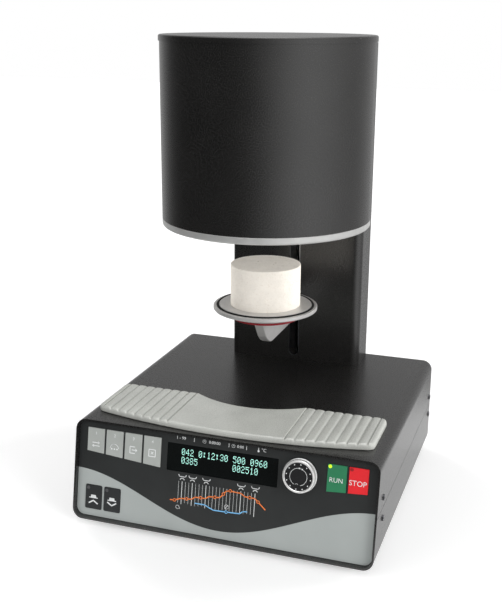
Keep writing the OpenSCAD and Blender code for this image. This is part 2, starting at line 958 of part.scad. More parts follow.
module fan_frame() {
    y0 = fan_front_y;
    color(powder_black) {
        difference() {
            box([fan_x - fan_w / 2, y0, fan_z - fan_w / 2],
                [fan_x + fan_w / 2, y0 + fan_t, fan_z + fan_w / 2]);
            rod_y(fan_bore_r, fan_x, fan_z, y0 - over, y0 + fan_t + over);
        }
        rod_y(12, fan_x, fan_z, y0, y0 + fan_hub_t);
        rod_y(fan_shaft_r, fan_x, fan_z, y0 + fan_hub_t / 2, y0 + fan_shaft_l);
        for (a = [0:120:240])
            translate([fan_x, y0, fan_z])
                rotate([0, a, 0])
                    translate([-2, 0, 0])
                        cube([4, fan_hub_t, fan_bore_r + 0.5]);
    }
}

module fan_rotor() {
    y0 = fan_front_y + fan_hub_t + fan_rotor_gap;
    blade_l = fan_t - 5;
    color([0.12, 0.12, 0.13])
        difference() {
            union() {
                rod_y(11, fan_x, fan_z, y0, y0 + blade_l);
                intersection() {
                    rod_y(fan_bore_r - 1, fan_x, fan_z, y0, y0 + blade_l);
                    for (a = [0:360 / 7:359])
                        translate([fan_x, y0 + blade_l / 2, fan_z])
                            rotate([0, a, 0])
                                rotate([0, 0, 38])
                                    translate([-0.8, -fan_t, 0])
                                        cube([1.6, 2 * fan_t, fan_bore_r]);
                }
            }
            rod_y(fan_shaft_r + running_gap, fan_x, fan_z, y0 - over,
                fan_front_y + fan_shaft_l + fan_rotor_gap);
        }
}

inlet_w = 27.4;
inlet_h = 20;
inlet_flange_t = 2.5;
socket_depth = 17;

module mains_inlet() {
    color(powder_black) {
        difference() {
            union() {
                box([power_x - inlet_w / 2, rear_y - 24, inlet_z - inlet_h / 2],
                    [power_x + inlet_w / 2, rear_y + 0.5, inlet_z + inlet_h / 2]);
                box([power_x - 25, rear_y, inlet_z - 12],
                    [power_x + 25, rear_y + inlet_flange_t, inlet_z + 12]);
            }
            box([power_x - 12.2, rear_y + inlet_flange_t - socket_depth, inlet_z - 8.4],
                [power_x + 12.2, rear_y + inlet_flange_t + over, inlet_z + 8.4]);
        }
        for (p = [[-7, -2.5], [0, 2.5], [7, -2.5]])
            box([power_x + p[0] - 1, rear_y + inlet_flange_t - socket_depth - over, inlet_z + p[1] - 2],
                [power_x + p[0] + 1, rear_y + inlet_flange_t - 6.5, inlet_z + p[1] + 2]);
    }
}

switch_half_w = 7.8;
switch_half_h = 13.8;
rocker_y = rear_y - 2;

module switch_body() {
    color(powder_black)
        difference() {
            union() {
                box([power_x - switch_half_w, rear_y - 18, switch_z - switch_half_h],
                    [power_x + switch_half_w, rear_y + 0.5, switch_z + switch_half_h]);
                box([power_x - 10, rear_y, switch_z - 16], [power_x + 10, rear_y + 2, switch_z + 16]);
            }
            box([power_x - 6.3, rear_y - 11, switch_z - 11.4], [power_x + 6.3, rear_y + 3, switch_z + 11.4]);
            translate([power_x - 7, rocker_y, switch_z])
                rotate([0, 90, 0])
                    cylinder(r = 1.5 + running_gap, h = 14);
        }
}

module power_rocker() {
    color([0.1, 0.1, 0.1])
        translate([power_x, rocker_y, switch_z])
            rotate([rocker_rest, 0, 0]) {
                rotate([90, 0, 90])
                    translate([0, 0, -6.1])
                        linear_extrude(12.2)
                            polygon([[-5, -10], [6.5, -10], [4.2, 0], [6.5, 10], [-5, 10]]);
                rotate([0, 90, 0])
                    cylinder(r = 1.5, h = 13.6, center = true);
            }
}

module vacuum_nozzle() {
    color(satin)
        difference() {
            union() {
                rod_y(7, hose_x, nozzle_z, hose_y + hose_bend_r, rear_y - rear_panel_t);
                rod_y(nozzle_r + 1, hose_x, nozzle_z, rear_y - rear_panel_t - 1, rear_y + 2);
                rod_y(nozzle_r, hose_x, nozzle_z, rear_y, rear_y + nozzle_out);
            }
            rod_y(nozzle_bore_r, hose_x, nozzle_z, hose_y, rear_y + nozzle_out + over);
        }
}

// Quarter bend of the hose in the YZ plane, starting downwards or upwards
module hose_bend(z, up) {
    translate([hose_x, hose_y + (up ? -1 : 1) * hose_bend_r, z])
        rotate([0, 0, 90])
            rotate([90, 0, 0])
                rotate([0, 0, up ? 0 : 180])
                    rotate_extrude(angle = 90)
                        translate([hose_bend_r, 0])
                            difference() {
                                circle(hose_r);
                                circle(nozzle_bore_r);
                            }
}

module vacuum_hose() {
    low = nozzle_z + hose_bend_r;
    high = hose_top_z - hose_bend_r;
    color([0.25, 0.25, 0.27]) {
        hose_bend(low, false);
        hose_bend(high, true);
        translate([hose_x, hose_y, 0])
            tube(hose_r, nozzle_bore_r, low, high - low);
        difference() {
            rod_y(hose_r, hose_x, hose_top_z, column_front_y - 12, hose_y - hose_bend_r);
            rod_y(nozzle_bore_r, hose_x, hose_top_z, column_front_y - 13, hose_y - hose_bend_r + over);
        }
    }
}

// Column

// Plan of the column with its front edges rounded, drawn in by an inset
module column_plan(inset, rear) {
    w = column_w / 2 - inset;
    r = column_r - inset;
    y0 = column_front_y + inset;
    translate([-w, y0 + r])
        square([2 * w, rear - y0 - r]);
    translate([-w + r, y0])
        square([2 * (w - r), 2 * r]);
    for (x = [-w + r, w - r])
        translate([x, y0 + r])
            circle(r);
}

saddle_low = shell_z + saddle_rise;
function saddle_screw_heights() = [saddle_low + 20, saddle_low + saddle_h - 20];
spine_screw_x = spine_w / 2 - spine_lip / 2 - 1;

module column_shell() {
    color(powder_black)
        difference() {
            translate([0, 0, base_top])
                linear_extrude(column_h)
                    column_plan(0, column_rear_y);
            translate([0, 0, base_top - over])
                linear_extrude(column_h + 2 * over)
                    column_plan(column_t, column_rear_y + over);
            box([-slot_w / 2, column_front_y - over, base_top + slot_low + slot_w / 2],
                [slot_w / 2, column_front_y + 2 * column_t, slot_high]);
            for (z = [base_top + slot_low + slot_w / 2, slot_high])
                rod_y(slot_w / 2, 0, z, column_front_y - over, column_front_y + 2 * column_t);
            for (x = [-spine_screw_x, spine_screw_x], z = saddle_screw_heights())
                rod_y(2.7, x, z, column_front_y - over, column_front_y + 2 * column_t);
            rod_y(hose_r + 0.3, hose_x, hose_top_z, column_front_y - over, column_front_y + 2 * column_t);
        }
}

module column_back() {
    half = column_w / 2 - column_t - fit;
    color(powder_black) {
        box([-half, column_rear_y - column_t, base_top], [half, column_rear_y, column_top]);
        translate([0, 0, column_top - column_t])
            linear_extrude(column_t)
                column_plan(column_t + fit, column_rear_y);
    }
}

module spine_channel() {
    half = spine_w / 2;
    color(steel)
        difference() {
            box([-half, spine_front, floor_z], [half, spine_back, column_top - column_t - 2]);
            box([-half + spine_t, spine_front + spine_t, floor_z - over],
                [half - spine_t, spine_back - spine_t, column_top]);
            box([-half + spine_lip, spine_front - over, floor_z - over],
                [half - spine_lip, spine_front + 2 * spine_t, column_top]);
            for (x = [-spine_screw_x, spine_screw_x], z = saddle_screw_heights())
                rod_y(2.7, x, z, spine_front - over, spine_front + 2 * spine_t);
        }
}

// Plate across the spine channel that holds the ends of the rods and the screw
module bearing_plate(z) {
    difference() {
        box([-spine_w / 2 + spine_t, spine_front + spine_t, z],
            [spine_w / 2 - spine_t, spine_back - spine_t, z + bearing_t]);
        for (x = [-rod_half_x, rod_half_x])
            translate([x, rod_y, z - over])
                cylinder(r = rod_r + 0.02, h = bearing_t + 2 * over);
        translate([0, rod_y, z - over])
            cylinder(r = lead_r + running_gap, h = bearing_t + 2 * over);
    }
}

module bearing_plates() {
    color(satin) {
        bearing_plate(lower_plate_top - bearing_t);
        bearing_plate(upper_plate_low);
    }
}

module guide_rods() {
    low = lower_plate_top - bearing_t - rod_overhang;
    high = upper_plate_low + bearing_t + rod_overhang;
    color([0.8, 0.8, 0.82])
        for (x = [-rod_half_x, rod_half_x])
            translate([x, rod_y, low])
                cylinder(r = rod_r, h = high - low);
}

module lead_screw() {
    high = upper_plate_low + bearing_t + rod_overhang;
    color([0.7, 0.68, 0.62])
        translate([0, rod_y, screw_low])
            cylinder(r = lead_r, h = high - screw_low);
}

module lift_motor() {
    color([0.15, 0.15, 0.16])
        difference() {
            box([-motor_w / 2, rod_y - motor_w / 2, floor_z],
                [motor_w / 2, rod_y + motor_w / 2, floor_z + motor_h]);
            translate([0, rod_y, screw_low - 0.3])
                cylinder(r = lead_r + running_gap, h = motor_h);
        }
}

// Lift carriage and table

nut_r = 11;
nut_flange_t = 4;

module carriage() {
    color(satin)
        difference() {
            box([-carriage_half_w, carriage_front, carriage_z],
                [carriage_half_w, carriage_back, carriage_z + carriage_h]);
            for (x = [-rod_half_x, rod_half_x])
                translate([x, rod_y, carriage_z - over])
                    cylinder(r = bush_r, h = carriage_h + 2 * over);
            translate([0, rod_y, carriage_z - over])
                cylinder(r = nut_r - 3, h = carriage_h + 2 * over);
        }
}

module guide_bushes() {
    color([0.78, 0.62, 0.3])
        for (x = [-rod_half_x, rod_half_x])
            translate([x, rod_y, 0])
                tube(bush_r, rod_r + running_gap, carriage_z, carriage_h);
}

module lift_nut() {
    color([0.78, 0.62, 0.3])
        translate([0, rod_y, 0])
            difference() {
                union() {
                    translate([0, 0, carriage_z])
                        cylinder(r = nut_r - 3.1, h = 22);
                    translate([0, 0, carriage_z - nut_flange_t / 2])
                        cylinder(r = nut_r, h = nut_flange_t / 2);
                }
                translate([0, 0, carriage_z - nut_flange_t])
                    cylinder(r = lead_r + running_gap, h = 40);
            }
}

nose_disc_t = 0.4;

// Places of the discs that the web's sloping nose is stretched over, as [y, z]
function web_nose() = [
    for (p = [[0, 0], [15, 20.4], [22.5, 26.4], [29.5, 29.9], [34.5, web_h]])
        [head_y - web_reach + web_edge_r + p[0], carrier_z - min(p[1], web_h)]
];

module lift_arm() {
    foot_front = column_front_y + column_t + 0.6;
    color(satin) {
        hull() {
            for (p = web_nose(), x = [web_edge_r - web_t / 2, web_t / 2 - web_edge_r])
                translate([x, p[0], p[1] + (p[1] > web_low ? -nose_disc_t : 0)])
                    cylinder(r = web_edge_r, h = nose_disc_t, $fn = 32);
            box([-web_t / 2, carriage_front - 1, web_low], [web_t / 2, carriage_front, carrier_z]);
        }
        translate([0, head_y, carrier_z])
            cylinder(r = carrier_r, h = carrier_t);
        box([-arm_foot_half_w, foot_front, web_low], [arm_foot_half_w, carriage_front, carrier_z]);
    }
}

module table_plate() {
    groove_in = seal_ring_r - seal_r - 0.3;
    groove_out = seal_ring_r + seal_r + 0.3;
    seat_r = block_r + 0.15;
    step_r = gasket_r + 1.2;
    color(satin)
        translate([0, head_y, table_z])
            rotate_extrude()
                polygon([
                    [0, -table_t], [step_r, -table_t], [table_r - 0.6, -rim_t],
                    [table_r, -rim_t + 0.8], [table_r, -0.6], [table_r - 0.6, 0],
                    [groove_out, 0], [groove_out, -seal_r], [groove_in, -seal_r],
                    [groove_in, dais_h - 0.4], [groove_in - 0.4, dais_h],
                    [seat_r, dais_h], [seat_r, dais_h - block_seat], [0, dais_h - block_seat]
                ]);
}

module gasket_ring() {
    color(red_rubber)
        translate([0, head_y, 0])
            tube(gasket_r, carrier_r + 0.1, table_z - table_t - gasket_h, gasket_h);
}

module seal_ring() {
    color([0.1, 0.09, 0.09])
        translate([0, head_y, table_z + dais_h + 0.25 - seal_r])
            rotate_extrude()
                translate([seal_ring_r, 0])
                    circle(seal_r);
}

module insulating_block() {
    low = table_z + dais_h - block_seat;
    edge = 1.2;
    color(block_white)
        translate([0, head_y, low])
            difference() {
                rotate_extrude()
                    polygon([
                        [0, 0], [block_r, 0], [block_r, block_h + block_seat - edge],
                        [block_r - edge * 0.3, block_h + block_seat - edge * 0.3],
                        [block_r - edge, block_h + block_seat], [0, block_h + block_seat]
                    ]);
                translate([0, block_r, block_h + block_seat - 3])
                    rotate([0, 0, 45])
                        cube([3, 3, 8], center = true);
            }
}

// Firing head

module head_ring() {
    color(satin)
        translate([0, head_y, ring_z])
            rotate_extrude()
                polygon(concat(
                    [[mouth_r, 0]],
                    [for (a = [0:15:90]) [
                        head_r - ring_round * (1 - sin(a)),
                        ring_round * (1 - cos(a))
                    ]],
                    [[head_r, ring_t - 0.5], [head_r - 0.5, ring_t], [mouth_r, ring_t]]
                ));
}

module head_shell() {
    color(powder_black)
        difference() {
            translate([0, head_y, 0])
                tube(head_r, head_r - shell_t, shell_z, shell_h);
            for (x = [-head_screw_x, head_screw_x], z = saddle_screw_heights())
                rod_y(2.2, x, z, head_y, head_y + head_r + over);
        }
}

module head_lid() {
    outer = head_r + lid_lap;
    color(powder_black)
        translate([0, head_y, shell_top - lid_h + lid_t])
            rotate_extrude()
                polygon(concat(
                    [[head_r + 0.15, 0], [outer, 0], [outer, lid_h - 2]],
                    [for (a = [0:22.5:90]) [outer - 2 * (1 - cos(a)), lid_h - 2 * (1 - sin(a))]],
                    [[0, lid_h], [0, lid_h - lid_t], [head_r + 0.15, lid_h - lid_t]]
                ));
}

can_top = shell_z + chamber_h + ceiling_t + fit;

module muffle_can() {
    color(steel)
        translate([0, head_y, 0]) {
            tube(insulation_r + fit + can_t, insulation_r + fit, shell_z, can_top - shell_z);
            tube(insulation_r + fit + can_t, probe_r + fit, can_top, can_t);
        }
}

module insulation_wall() {
    color(block_white)
        translate([0, head_y, 0])
            tube(insulation_r, muffle_r + muffle_t + fit, shell_z, chamber_h);
}

module insulation_top() {
    color(block_white)
        translate([0, head_y, 0])
            tube(insulation_r, probe_r + fit, shell_z + chamber_h, ceiling_t);
}

module muffle_tube() {
    color([0.85, 0.87, 0.88, 0.6])
        translate([0, head_y, 0])
            tube(muffle_r + muffle_t, muffle_r, shell_z, chamber_h - fit);
}

// Heating wire: one helix against the inside of the muffle

coil_r = muffle_r - wire_r - 0.25;
coil_low = 8;
coil_high = chamber_h - 10;
coil_steps = 24;
coil_rings = wire_turns * coil_steps;

function coil_centre(k) = [
    coil_r * cos(360 * k / coil_steps),
    coil_r * sin(360 * k / coil_steps),
    coil_low + (coil_high - coil_low) * k / coil_rings
];

function coil_ring(k) =
    let (a = 360 * k / coil_steps, c = coil_centre(k))
    [for (j = [0:5]) let (b = -60 * j) [
        c[0] + wire_r * cos(b) * cos(a),
        c[1] + wire_r * cos(b) * sin(a),
        c[2] + wire_r * sin(b)
    ]];

// Least space between one turn and the next, measured on the helix's own points
coil_gap = min([
    for (k = [0:coil_rings - coil_steps], d = [-1, 0, 1])
        norm(coil_centre(k + coil_steps + d) - coil_centre(k))
]) - 2 * wire_r;
echo("least gap between turns of the heating wire", coil_gap);

// Solid from outlines of equal length, each counter-clockwise as seen from the last one
module lofted(rings) {
    n = len(rings[0]);
    m = len(rings);
    polyhedron(
        points = [for (ring = rings, p = ring) p],
        faces = concat(
            [[for (i = [0:n - 1]) i]],
            [[for (i = [n - 1:-1:0]) (m - 1) * n + i]],
            [for (j = [0:m - 2], i = [0:n - 1]) [j * n + i, (j + 1) * n + (i + 1) % n, j * n + (i + 1) % n]],
            [for (j = [0:m - 2], i = [0:n - 1]) [j * n + i, (j + 1) * n + i, (j + 1) * n + (i + 1) % n]]
        )
    );
}

module heating_coil() {
    color([0.45, 0.4, 0.36])
        translate([0, head_y, shell_z])
            lofted([for (k = [0:coil_rings]) coil_ring(k)]);
}

module thermocouple() {
    top = can_top + can_t;
    color([0.85, 0.83, 0.78])
        translate([0, head_y, 0]) {
            translate([0, 0, shell_z + chamber_h - 22])
                cylinder(r = probe_r, h = top - shell_z - chamber_h + 22 + over);
            translate([0, 0, top])
                cylinder(r = 11, h = 14);
        }
}

head_screw_x = 25;
saddle_half_w = column_w / 2 - saddle_margin;
saddle_port_depth = 14;

module head_saddle() {
    color(powder_black)
        difference() {
            box([-saddle_half_w, head_y, saddle_low], [saddle_half_w, column_front_y, saddle_low + saddle_h]);
            translate([0, head_y, saddle_low - over])
                cylinder(r = head_r, h = saddle_h + 2 * over);
            for (x = [-spine_screw_x, spine_screw_x], z = saddle_screw_heights())
                rod_y(2.5, x, z, column_front_y - 12, column_front_y + over);
            for (x = [-head_screw_x, head_screw_x], z = saddle_screw_heights())
                rod_y(2, x, z, head_y, column_front_y + over);
            rod_y(hose_r + 0.1, hose_x, hose_top_z, column_front_y - saddle_port_depth,
                column_front_y + over);
        }
}

module head_screws() {
    inner_y = head_y + sqrt(pow(head_r - shell_t, 2) - pow(head_screw_x, 2)) - 0.7;
    lip_y = spine_front + spine_t;
    color(steel)
        for (side = [-1, 1], z = saddle_screw_heights()) {
            rod_y(4.2, side * head_screw_x, z, inner_y - 2.6, inner_y - 0.2);
            rod_y(1.9, side * head_screw_x, z, inner_y - 1, column_front_y - 0.4);
            rod_y(4.2, side * spine_screw_x, z, lip_y, lip_y + 2.6);
            rod_y(2.4, side * spine_screw_x, z, column_front_y - 11.5, lip_y + 1);
        }
}

base_tray();
top_cover();
side_rails();
rear_panel();
cover_screws();
rubber_feet();
hand_rest();
panel_plate();
panel_overlay();
program_key();
curve_key();
enter_key();
escape_key();
lift_up_key();
lift_down_key();
run_key();
stop_key();
display_window();
display_module();
knob_ring();
knob_cap();
encoder_shaft();
encoder_body();
encoder_plunger();
control_board();
transformer();
power_board();
fan_frame();
fan_rotor();
mains_inlet();
switch_body();
power_rocker();
vacuum_nozzle();
vacuum_hose();
column_shell();
column_back();
spine_channel();
bearing_plates();
guide_rods();
lead_screw();
lift_motor();
carriage();
guide_bushes();
lift_nut();
lift_arm();
table_plate();
gasket_ring();
seal_ring();
insulating_block();
head_ring();
head_shell();
head_lid();
muffle_can();
insulation_wall();
insulation_top();
muffle_tube();
heating_coil();
thermocouple();
head_saddle();
head_screws();
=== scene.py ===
"""Looks of a tabletop dental firing furnace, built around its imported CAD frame.

Lengths are in metres, and what is drawn on the panel is given in millimetres. X points
right, Y points back and Z points up. On the control panel, x runs across the film and s
runs up its slope from the lower edge of the base.
"""
import json
import logging
import math
import random
from dataclasses import dataclass, field
from enum import Enum
from typing import Callable, Sequence

import bmesh
import bpy
from mathutils import Matrix, Vector


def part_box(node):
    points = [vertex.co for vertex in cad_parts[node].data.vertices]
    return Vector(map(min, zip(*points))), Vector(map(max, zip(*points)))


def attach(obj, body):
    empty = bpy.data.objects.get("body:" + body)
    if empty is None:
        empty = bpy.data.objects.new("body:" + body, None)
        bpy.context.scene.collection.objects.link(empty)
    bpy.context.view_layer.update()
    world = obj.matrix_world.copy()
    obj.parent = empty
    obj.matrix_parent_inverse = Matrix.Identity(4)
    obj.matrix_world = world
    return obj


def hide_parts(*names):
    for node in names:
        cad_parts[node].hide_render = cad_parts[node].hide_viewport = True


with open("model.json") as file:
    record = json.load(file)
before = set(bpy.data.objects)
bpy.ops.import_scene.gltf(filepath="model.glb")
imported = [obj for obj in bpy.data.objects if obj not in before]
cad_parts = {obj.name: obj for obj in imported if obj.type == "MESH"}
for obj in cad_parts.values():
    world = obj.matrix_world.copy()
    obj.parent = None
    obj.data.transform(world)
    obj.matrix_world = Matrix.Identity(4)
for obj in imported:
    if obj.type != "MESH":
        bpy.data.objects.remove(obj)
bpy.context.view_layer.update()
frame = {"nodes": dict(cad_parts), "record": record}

MM = 0.001
SAME = 1e-6  # places closer than this are one place
log = logging.getLogger("furnace")

Colour = tuple[float, float, float]
Point = tuple[float, float]
Place = tuple[float, float, float]
Socket = bpy.types.NodeSocket


class NodeTree:
    """The nodes of a material or of the world."""

    def __init__(self, owner: bpy.types.Material | bpy.types.World) -> None:
        """Takes up the nodes of a material or of the world."""
        owner.use_nodes = True
        self.tree = owner.node_tree

    def add(self, kind: str, inputs: dict | None = None, **settings: object) -> bpy.types.Node:
        """Adds a node.

        Args:
            kind: The node's type name.
            inputs: Values or sockets for its inputs, by name or number.
            **settings: Other properties of the node.

        Returns:
            The node.
        """
        node = self.tree.nodes.new(kind)
        for key, value in settings.items():
            setattr(node, key, value)
        self.fill(node, inputs or {})
        return node

    def fill(self, node: bpy.types.Node, inputs: dict) -> None:
        """Sets or links a node's inputs.

        Args:
            node: The node.
            inputs: Values or sockets by name or number. A colour may have three parts.
        """
        for key, value in inputs.items():
            socket = node.inputs[key]
            if isinstance(value, Socket):
                self.tree.links.new(value, socket)
            elif socket.type == "RGBA" and len(value) == 3:
                socket.default_value = (*value, 1.0)
            else:
                socket.default_value = value

    def math(self, operation: str, a: object, b: object = 0.0) -> Socket:
        """Joins two numbers by a sum, product or other operation."""
        return self.add("ShaderNodeMath", {0: a, 1: b}, operation=operation).outputs[0]


class FinishGraph(NodeTree):
    """A new node material, its principled shader and the nodes that several finishes share."""

    def __init__(self, name: str) -> None:
        """Makes the material.

        Args:
            name: The material's name.
        """
        self.material = bpy.data.materials.new(name)
        super().__init__(self.material)
        self.shader = self.tree.nodes["Principled BSDF"]
        self.place = self.add("ShaderNodeTexCoord").outputs["Object"]

    def noise(self, size: float, detail: float, stretch: Place = (1, 1, 1),
              place: Socket | None = None) -> Socket:
        """Adds noise whose patches are about as large as a given size.

        Args:
            size: Size of the patches.
            detail: Number of finer layers.
            stretch: Scale of the coordinates along each axis.
            place: Coordinates to use in place of the object's own.

        Returns:
            The socket with the noise's value.
        """
        mapping = self.add("ShaderNodeMapping", {"Vector": place or self.place, "Scale": stretch})
        inputs = {"Vector": mapping.outputs[0], "Scale": 1 / size, "Detail": detail}
        return self.add("ShaderNodeTexNoise", inputs).outputs[0]

    def cells(self, size: float) -> Socket:
        """Adds the distance to the centre of random cells of a given size."""
        inputs = {"Vector": self.place, "Scale": 1 / size}
        return self.add("ShaderNodeTexVoronoi", inputs).outputs["Distance"]

    def around(self, centre: Point) -> Sequence[Socket]:
        """Measures the coordinates from an upright axis.

        Args:
            centre: Where the axis stands.

        Returns:
            The sockets with x, y and z.
        """
        inputs = {0: self.place, 1: (-centre[0], -centre[1], 0.0)}
        offset = self.add("ShaderNodeVectorMath", inputs, operation="ADD").outputs[0]
        return self.add("ShaderNodeSeparateXYZ", {0: offset}).outputs

    def spread(self, value: Socket, low: float, high: float, start: float = 0.3,
               end: float = 0.7) -> Socket:
        """Maps a value's middle range to a range of its own, cut off at both ends."""
        inputs = {"Value": value, "From Min": start, "From Max": end, "To Min": low, "To Max": high}
        return self.add("ShaderNodeMapRange", inputs).outputs[0]

    def vary(self, value: Socket, middle: float, change: float) -> Socket:
        """Maps a value's middle range to a number, give or take a change."""
        return self.spread(value, middle - change, middle + change)

    def mix(self, factor: object, a: object, b: object) -> Socket:
        """Mixes two colours by a factor."""
        return self.add("ShaderNodeMix", {0: factor, 6: a, 7: b}, data_type="RGBA").outputs[2]

    def wire(self, **sockets: object) -> None:
        """Sets or links the shader's inputs, with underscores in place of spaces."""
        self.fill(self.shader, {key.replace("_", " "): value for key, value in sockets.items()})

    def bump(self, height: Socket, depth: float, strength: float = 1.0) -> None:
        """Raises the surface by a height pattern of a given depth."""
        inputs = {"Height": height, "Distance": depth, "Strength": strength}
        self.wire(Normal=self.add("ShaderNodeBump", inputs).outputs[0])

    def shaded(self, colour: Colour, change: float, size: float) -> Socket:
        """Returns a colour that varies a little in broad patches."""
        low, high = (tuple(c * k for c in colour) for k in (1 - change, 1 + change))
        return self.mix(self.spread(self.noise(size, detail=2), 0.0, 1.0), low, high)


@dataclass(frozen=True)
class Finish:
    """What all finishes share."""

    def make(self, name: str) -> bpy.types.Material:
        """Builds the material.

        Args:
            name: The material's name.

        Returns:
            The material.
        """
        graph = FinishGraph(name)
        self.dress(graph)
        return graph.material

    def dress(self, graph: FinishGraph) -> None:
        """Adds the nodes of one kind of finish to a graph."""
        raise NotImplementedError


@dataclass(frozen=True)
class GrainedFinish(Finish):
    """An opaque coloured surface with a fine grain."""

    colour: Colour
    roughness: float
    specular: float
    grain: float
    relief: float
    uneven: float
    shade: float
    patch: float

    def dress(self, graph: FinishGraph) -> None:
        """Adds the grain, the uneven gloss and the shades of the colour.

        Args:
            graph: The material's graph.
        """
        grain = graph.noise(self.grain, detail=3)
        graph.wire(Base_Color=graph.shaded(self.colour, self.shade, self.patch),
                   Roughness=graph.vary(grain, self.roughness, self.uneven),
                   Specular_IOR_Level=self.specular)
        graph.bump(grain, self.relief)


@dataclass(frozen=True)
class PaintFinish(GrainedFinish):
    """Powder coat with a fine orange-peel grain."""

    roughness: float = 0.28
    specular: float = 0.85
    grain: float = 0.9 * MM
    relief: float = 0.003 * MM
    uneven: float = 0.02
    shade: float = 0.14
    patch: float = 40 * MM


@dataclass(frozen=True)
class PlasticFinish(GrainedFinish):
    """Moulded plastic, rubber or printing ink with a fine eroded grain."""

    roughness: float = 0.45
    specular: float = 0.5
    grain: float = 0.4 * MM
    relief: float = 0.012 * MM
    uneven: float = 0.06
    shade: float = 0.06
    patch: float = 25 * MM


class Lay(Enum):
    """Direction of the marks that a metal's working leaves."""

    CAST = "cast"
    DRAWN = "drawn"
    TURNED = "turned"


@dataclass(frozen=True)
class MetalFinish(Finish):
    """Bare metal with the marks of how it was worked."""

    colour: Colour
    roughness: float = 0.35
    lay: Lay = Lay.CAST
    centre: Point = (0.0, 0.0)
    grain: float = 0.5 * MM
    relief: float = 0.01 * MM
    depth: float = 0.7
    metallic: float = 1.0
    uneven: float = 0.07
    shade: float = 0.05
    patch: float = 15 * MM
    drawn: float = 0.02

    def dress(self, graph: FinishGraph) -> None:
        """Adds the marks, the uneven gloss and the shades of the colour.

        Args:
            graph: The material's graph.
        """
        marks = self.marks(graph)
        graph.wire(Base_Color=graph.shaded(self.colour, self.shade, self.patch),
                   Metallic=self.metallic,
                   Roughness=graph.vary(marks, self.roughness, self.uneven))
        graph.bump(marks, self.relief, self.depth)

    def marks(self, graph: FinishGraph) -> Socket:
        """Adds the pattern of the marks: grains, long upright lines or rings.

        Args:
            graph: The material's graph.

        Returns:
            The socket with the height of the marks.
        """
        if self.lay is not Lay.TURNED:
            stretch = (1, 1, self.drawn if self.lay is Lay.DRAWN else 1)
            return graph.noise(self.grain, detail=4, stretch=stretch)
        x, y, z = graph.around(self.centre)
        squares = graph.math("ADD", graph.math("POWER", x, 2.0), graph.math("POWER", y, 2.0))
        inputs = {0: graph.math("SQRT", squares), 2: z}
        polar = graph.add("ShaderNodeCombineXYZ", inputs).outputs[0]
        return graph.noise(self.grain, detail=4, place=polar)


@dataclass(frozen=True)
class FibreFinish(Finish):
    """Pressed ceramic fibre or light firebrick: chalky, pitted and speckled."""

    colour: Colour
    speck: Colour
    pore: float = 0.8 * MM
    speck_size: float = 1.76 * MM
    speck_share: float = 0.4
    fluff: float = 0.45 * MM
    relief: float = 0.25 * MM
    depth: float = 0.6
    roughness: float = 0.95
    specular: float = 0.15
    shade: float = 0.03
    patch: float = 9 * MM

    def dress(self, graph: FinishGraph) -> None:
        """Adds the pores, the darker specks and the fluff between them.

        Args:
            graph: The material's graph.
        """
        pores = graph.spread(graph.cells(self.pore), 0.0, 1.0, start=0.12, end=0.5)
        specks = graph.noise(self.speck_size, detail=4)
        specks = graph.spread(specks, self.speck_share, 0.0, start=0.28, end=0.44)
        ground = graph.shaded(self.colour, self.shade, self.patch)
        graph.wire(Base_Color=graph.mix(specks, ground, self.speck),
                   Roughness=self.roughness, Specular_IOR_Level=self.specular)
        half = graph.math("MULTIPLY", pores, 0.5)
        height = graph.math("ADD", half, graph.noise(self.fluff, detail=3))
        graph.bump(height, self.relief, self.depth)


@dataclass(frozen=True)
class GlassFinish(Finish):
    """Clear or dark glass with faint smears."""

    colour: Colour
    roughness: float = 0.06
    transmission: float = 0.0
    smear: float = 0.05
    smear_size: float = 14 * MM
    shade: float = 0.1
    patch: float = 30 * MM
    index: float = 1.46

    def dress(self, graph: FinishGraph) -> None:
        """Adds the smears and the faint shades of the glass.

        Args:
            graph: The material's graph.
        """
        smears = graph.noise(self.smear_size, detail=4)
        graph.wire(Base_Color=graph.shaded(self.colour, self.shade, self.patch),
                   Roughness=graph.spread(smears, self.roughness, self.roughness + self.smear),
                   Transmission_Weight=self.transmission, IOR=self.index)


@dataclass(frozen=True)
class GlowFinish(Finish):
    """A lit lamp or display element."""

    colour: Colour
    strength: float
    roughness: float = 0.3
    shade: float = 0.1
    patch: float = 2 * MM

    def dress(self, graph: FinishGraph) -> None:
        """Adds the glow over a slightly uneven colour.

        Args:
            graph: The material's graph.
        """
        graph.wire(Base_Color=graph.shaded(self.colour, self.shade, self.patch),
                   Roughness=self.roughness,
                   Emission_Color=self.colour, Emission_Strength=self.strength)


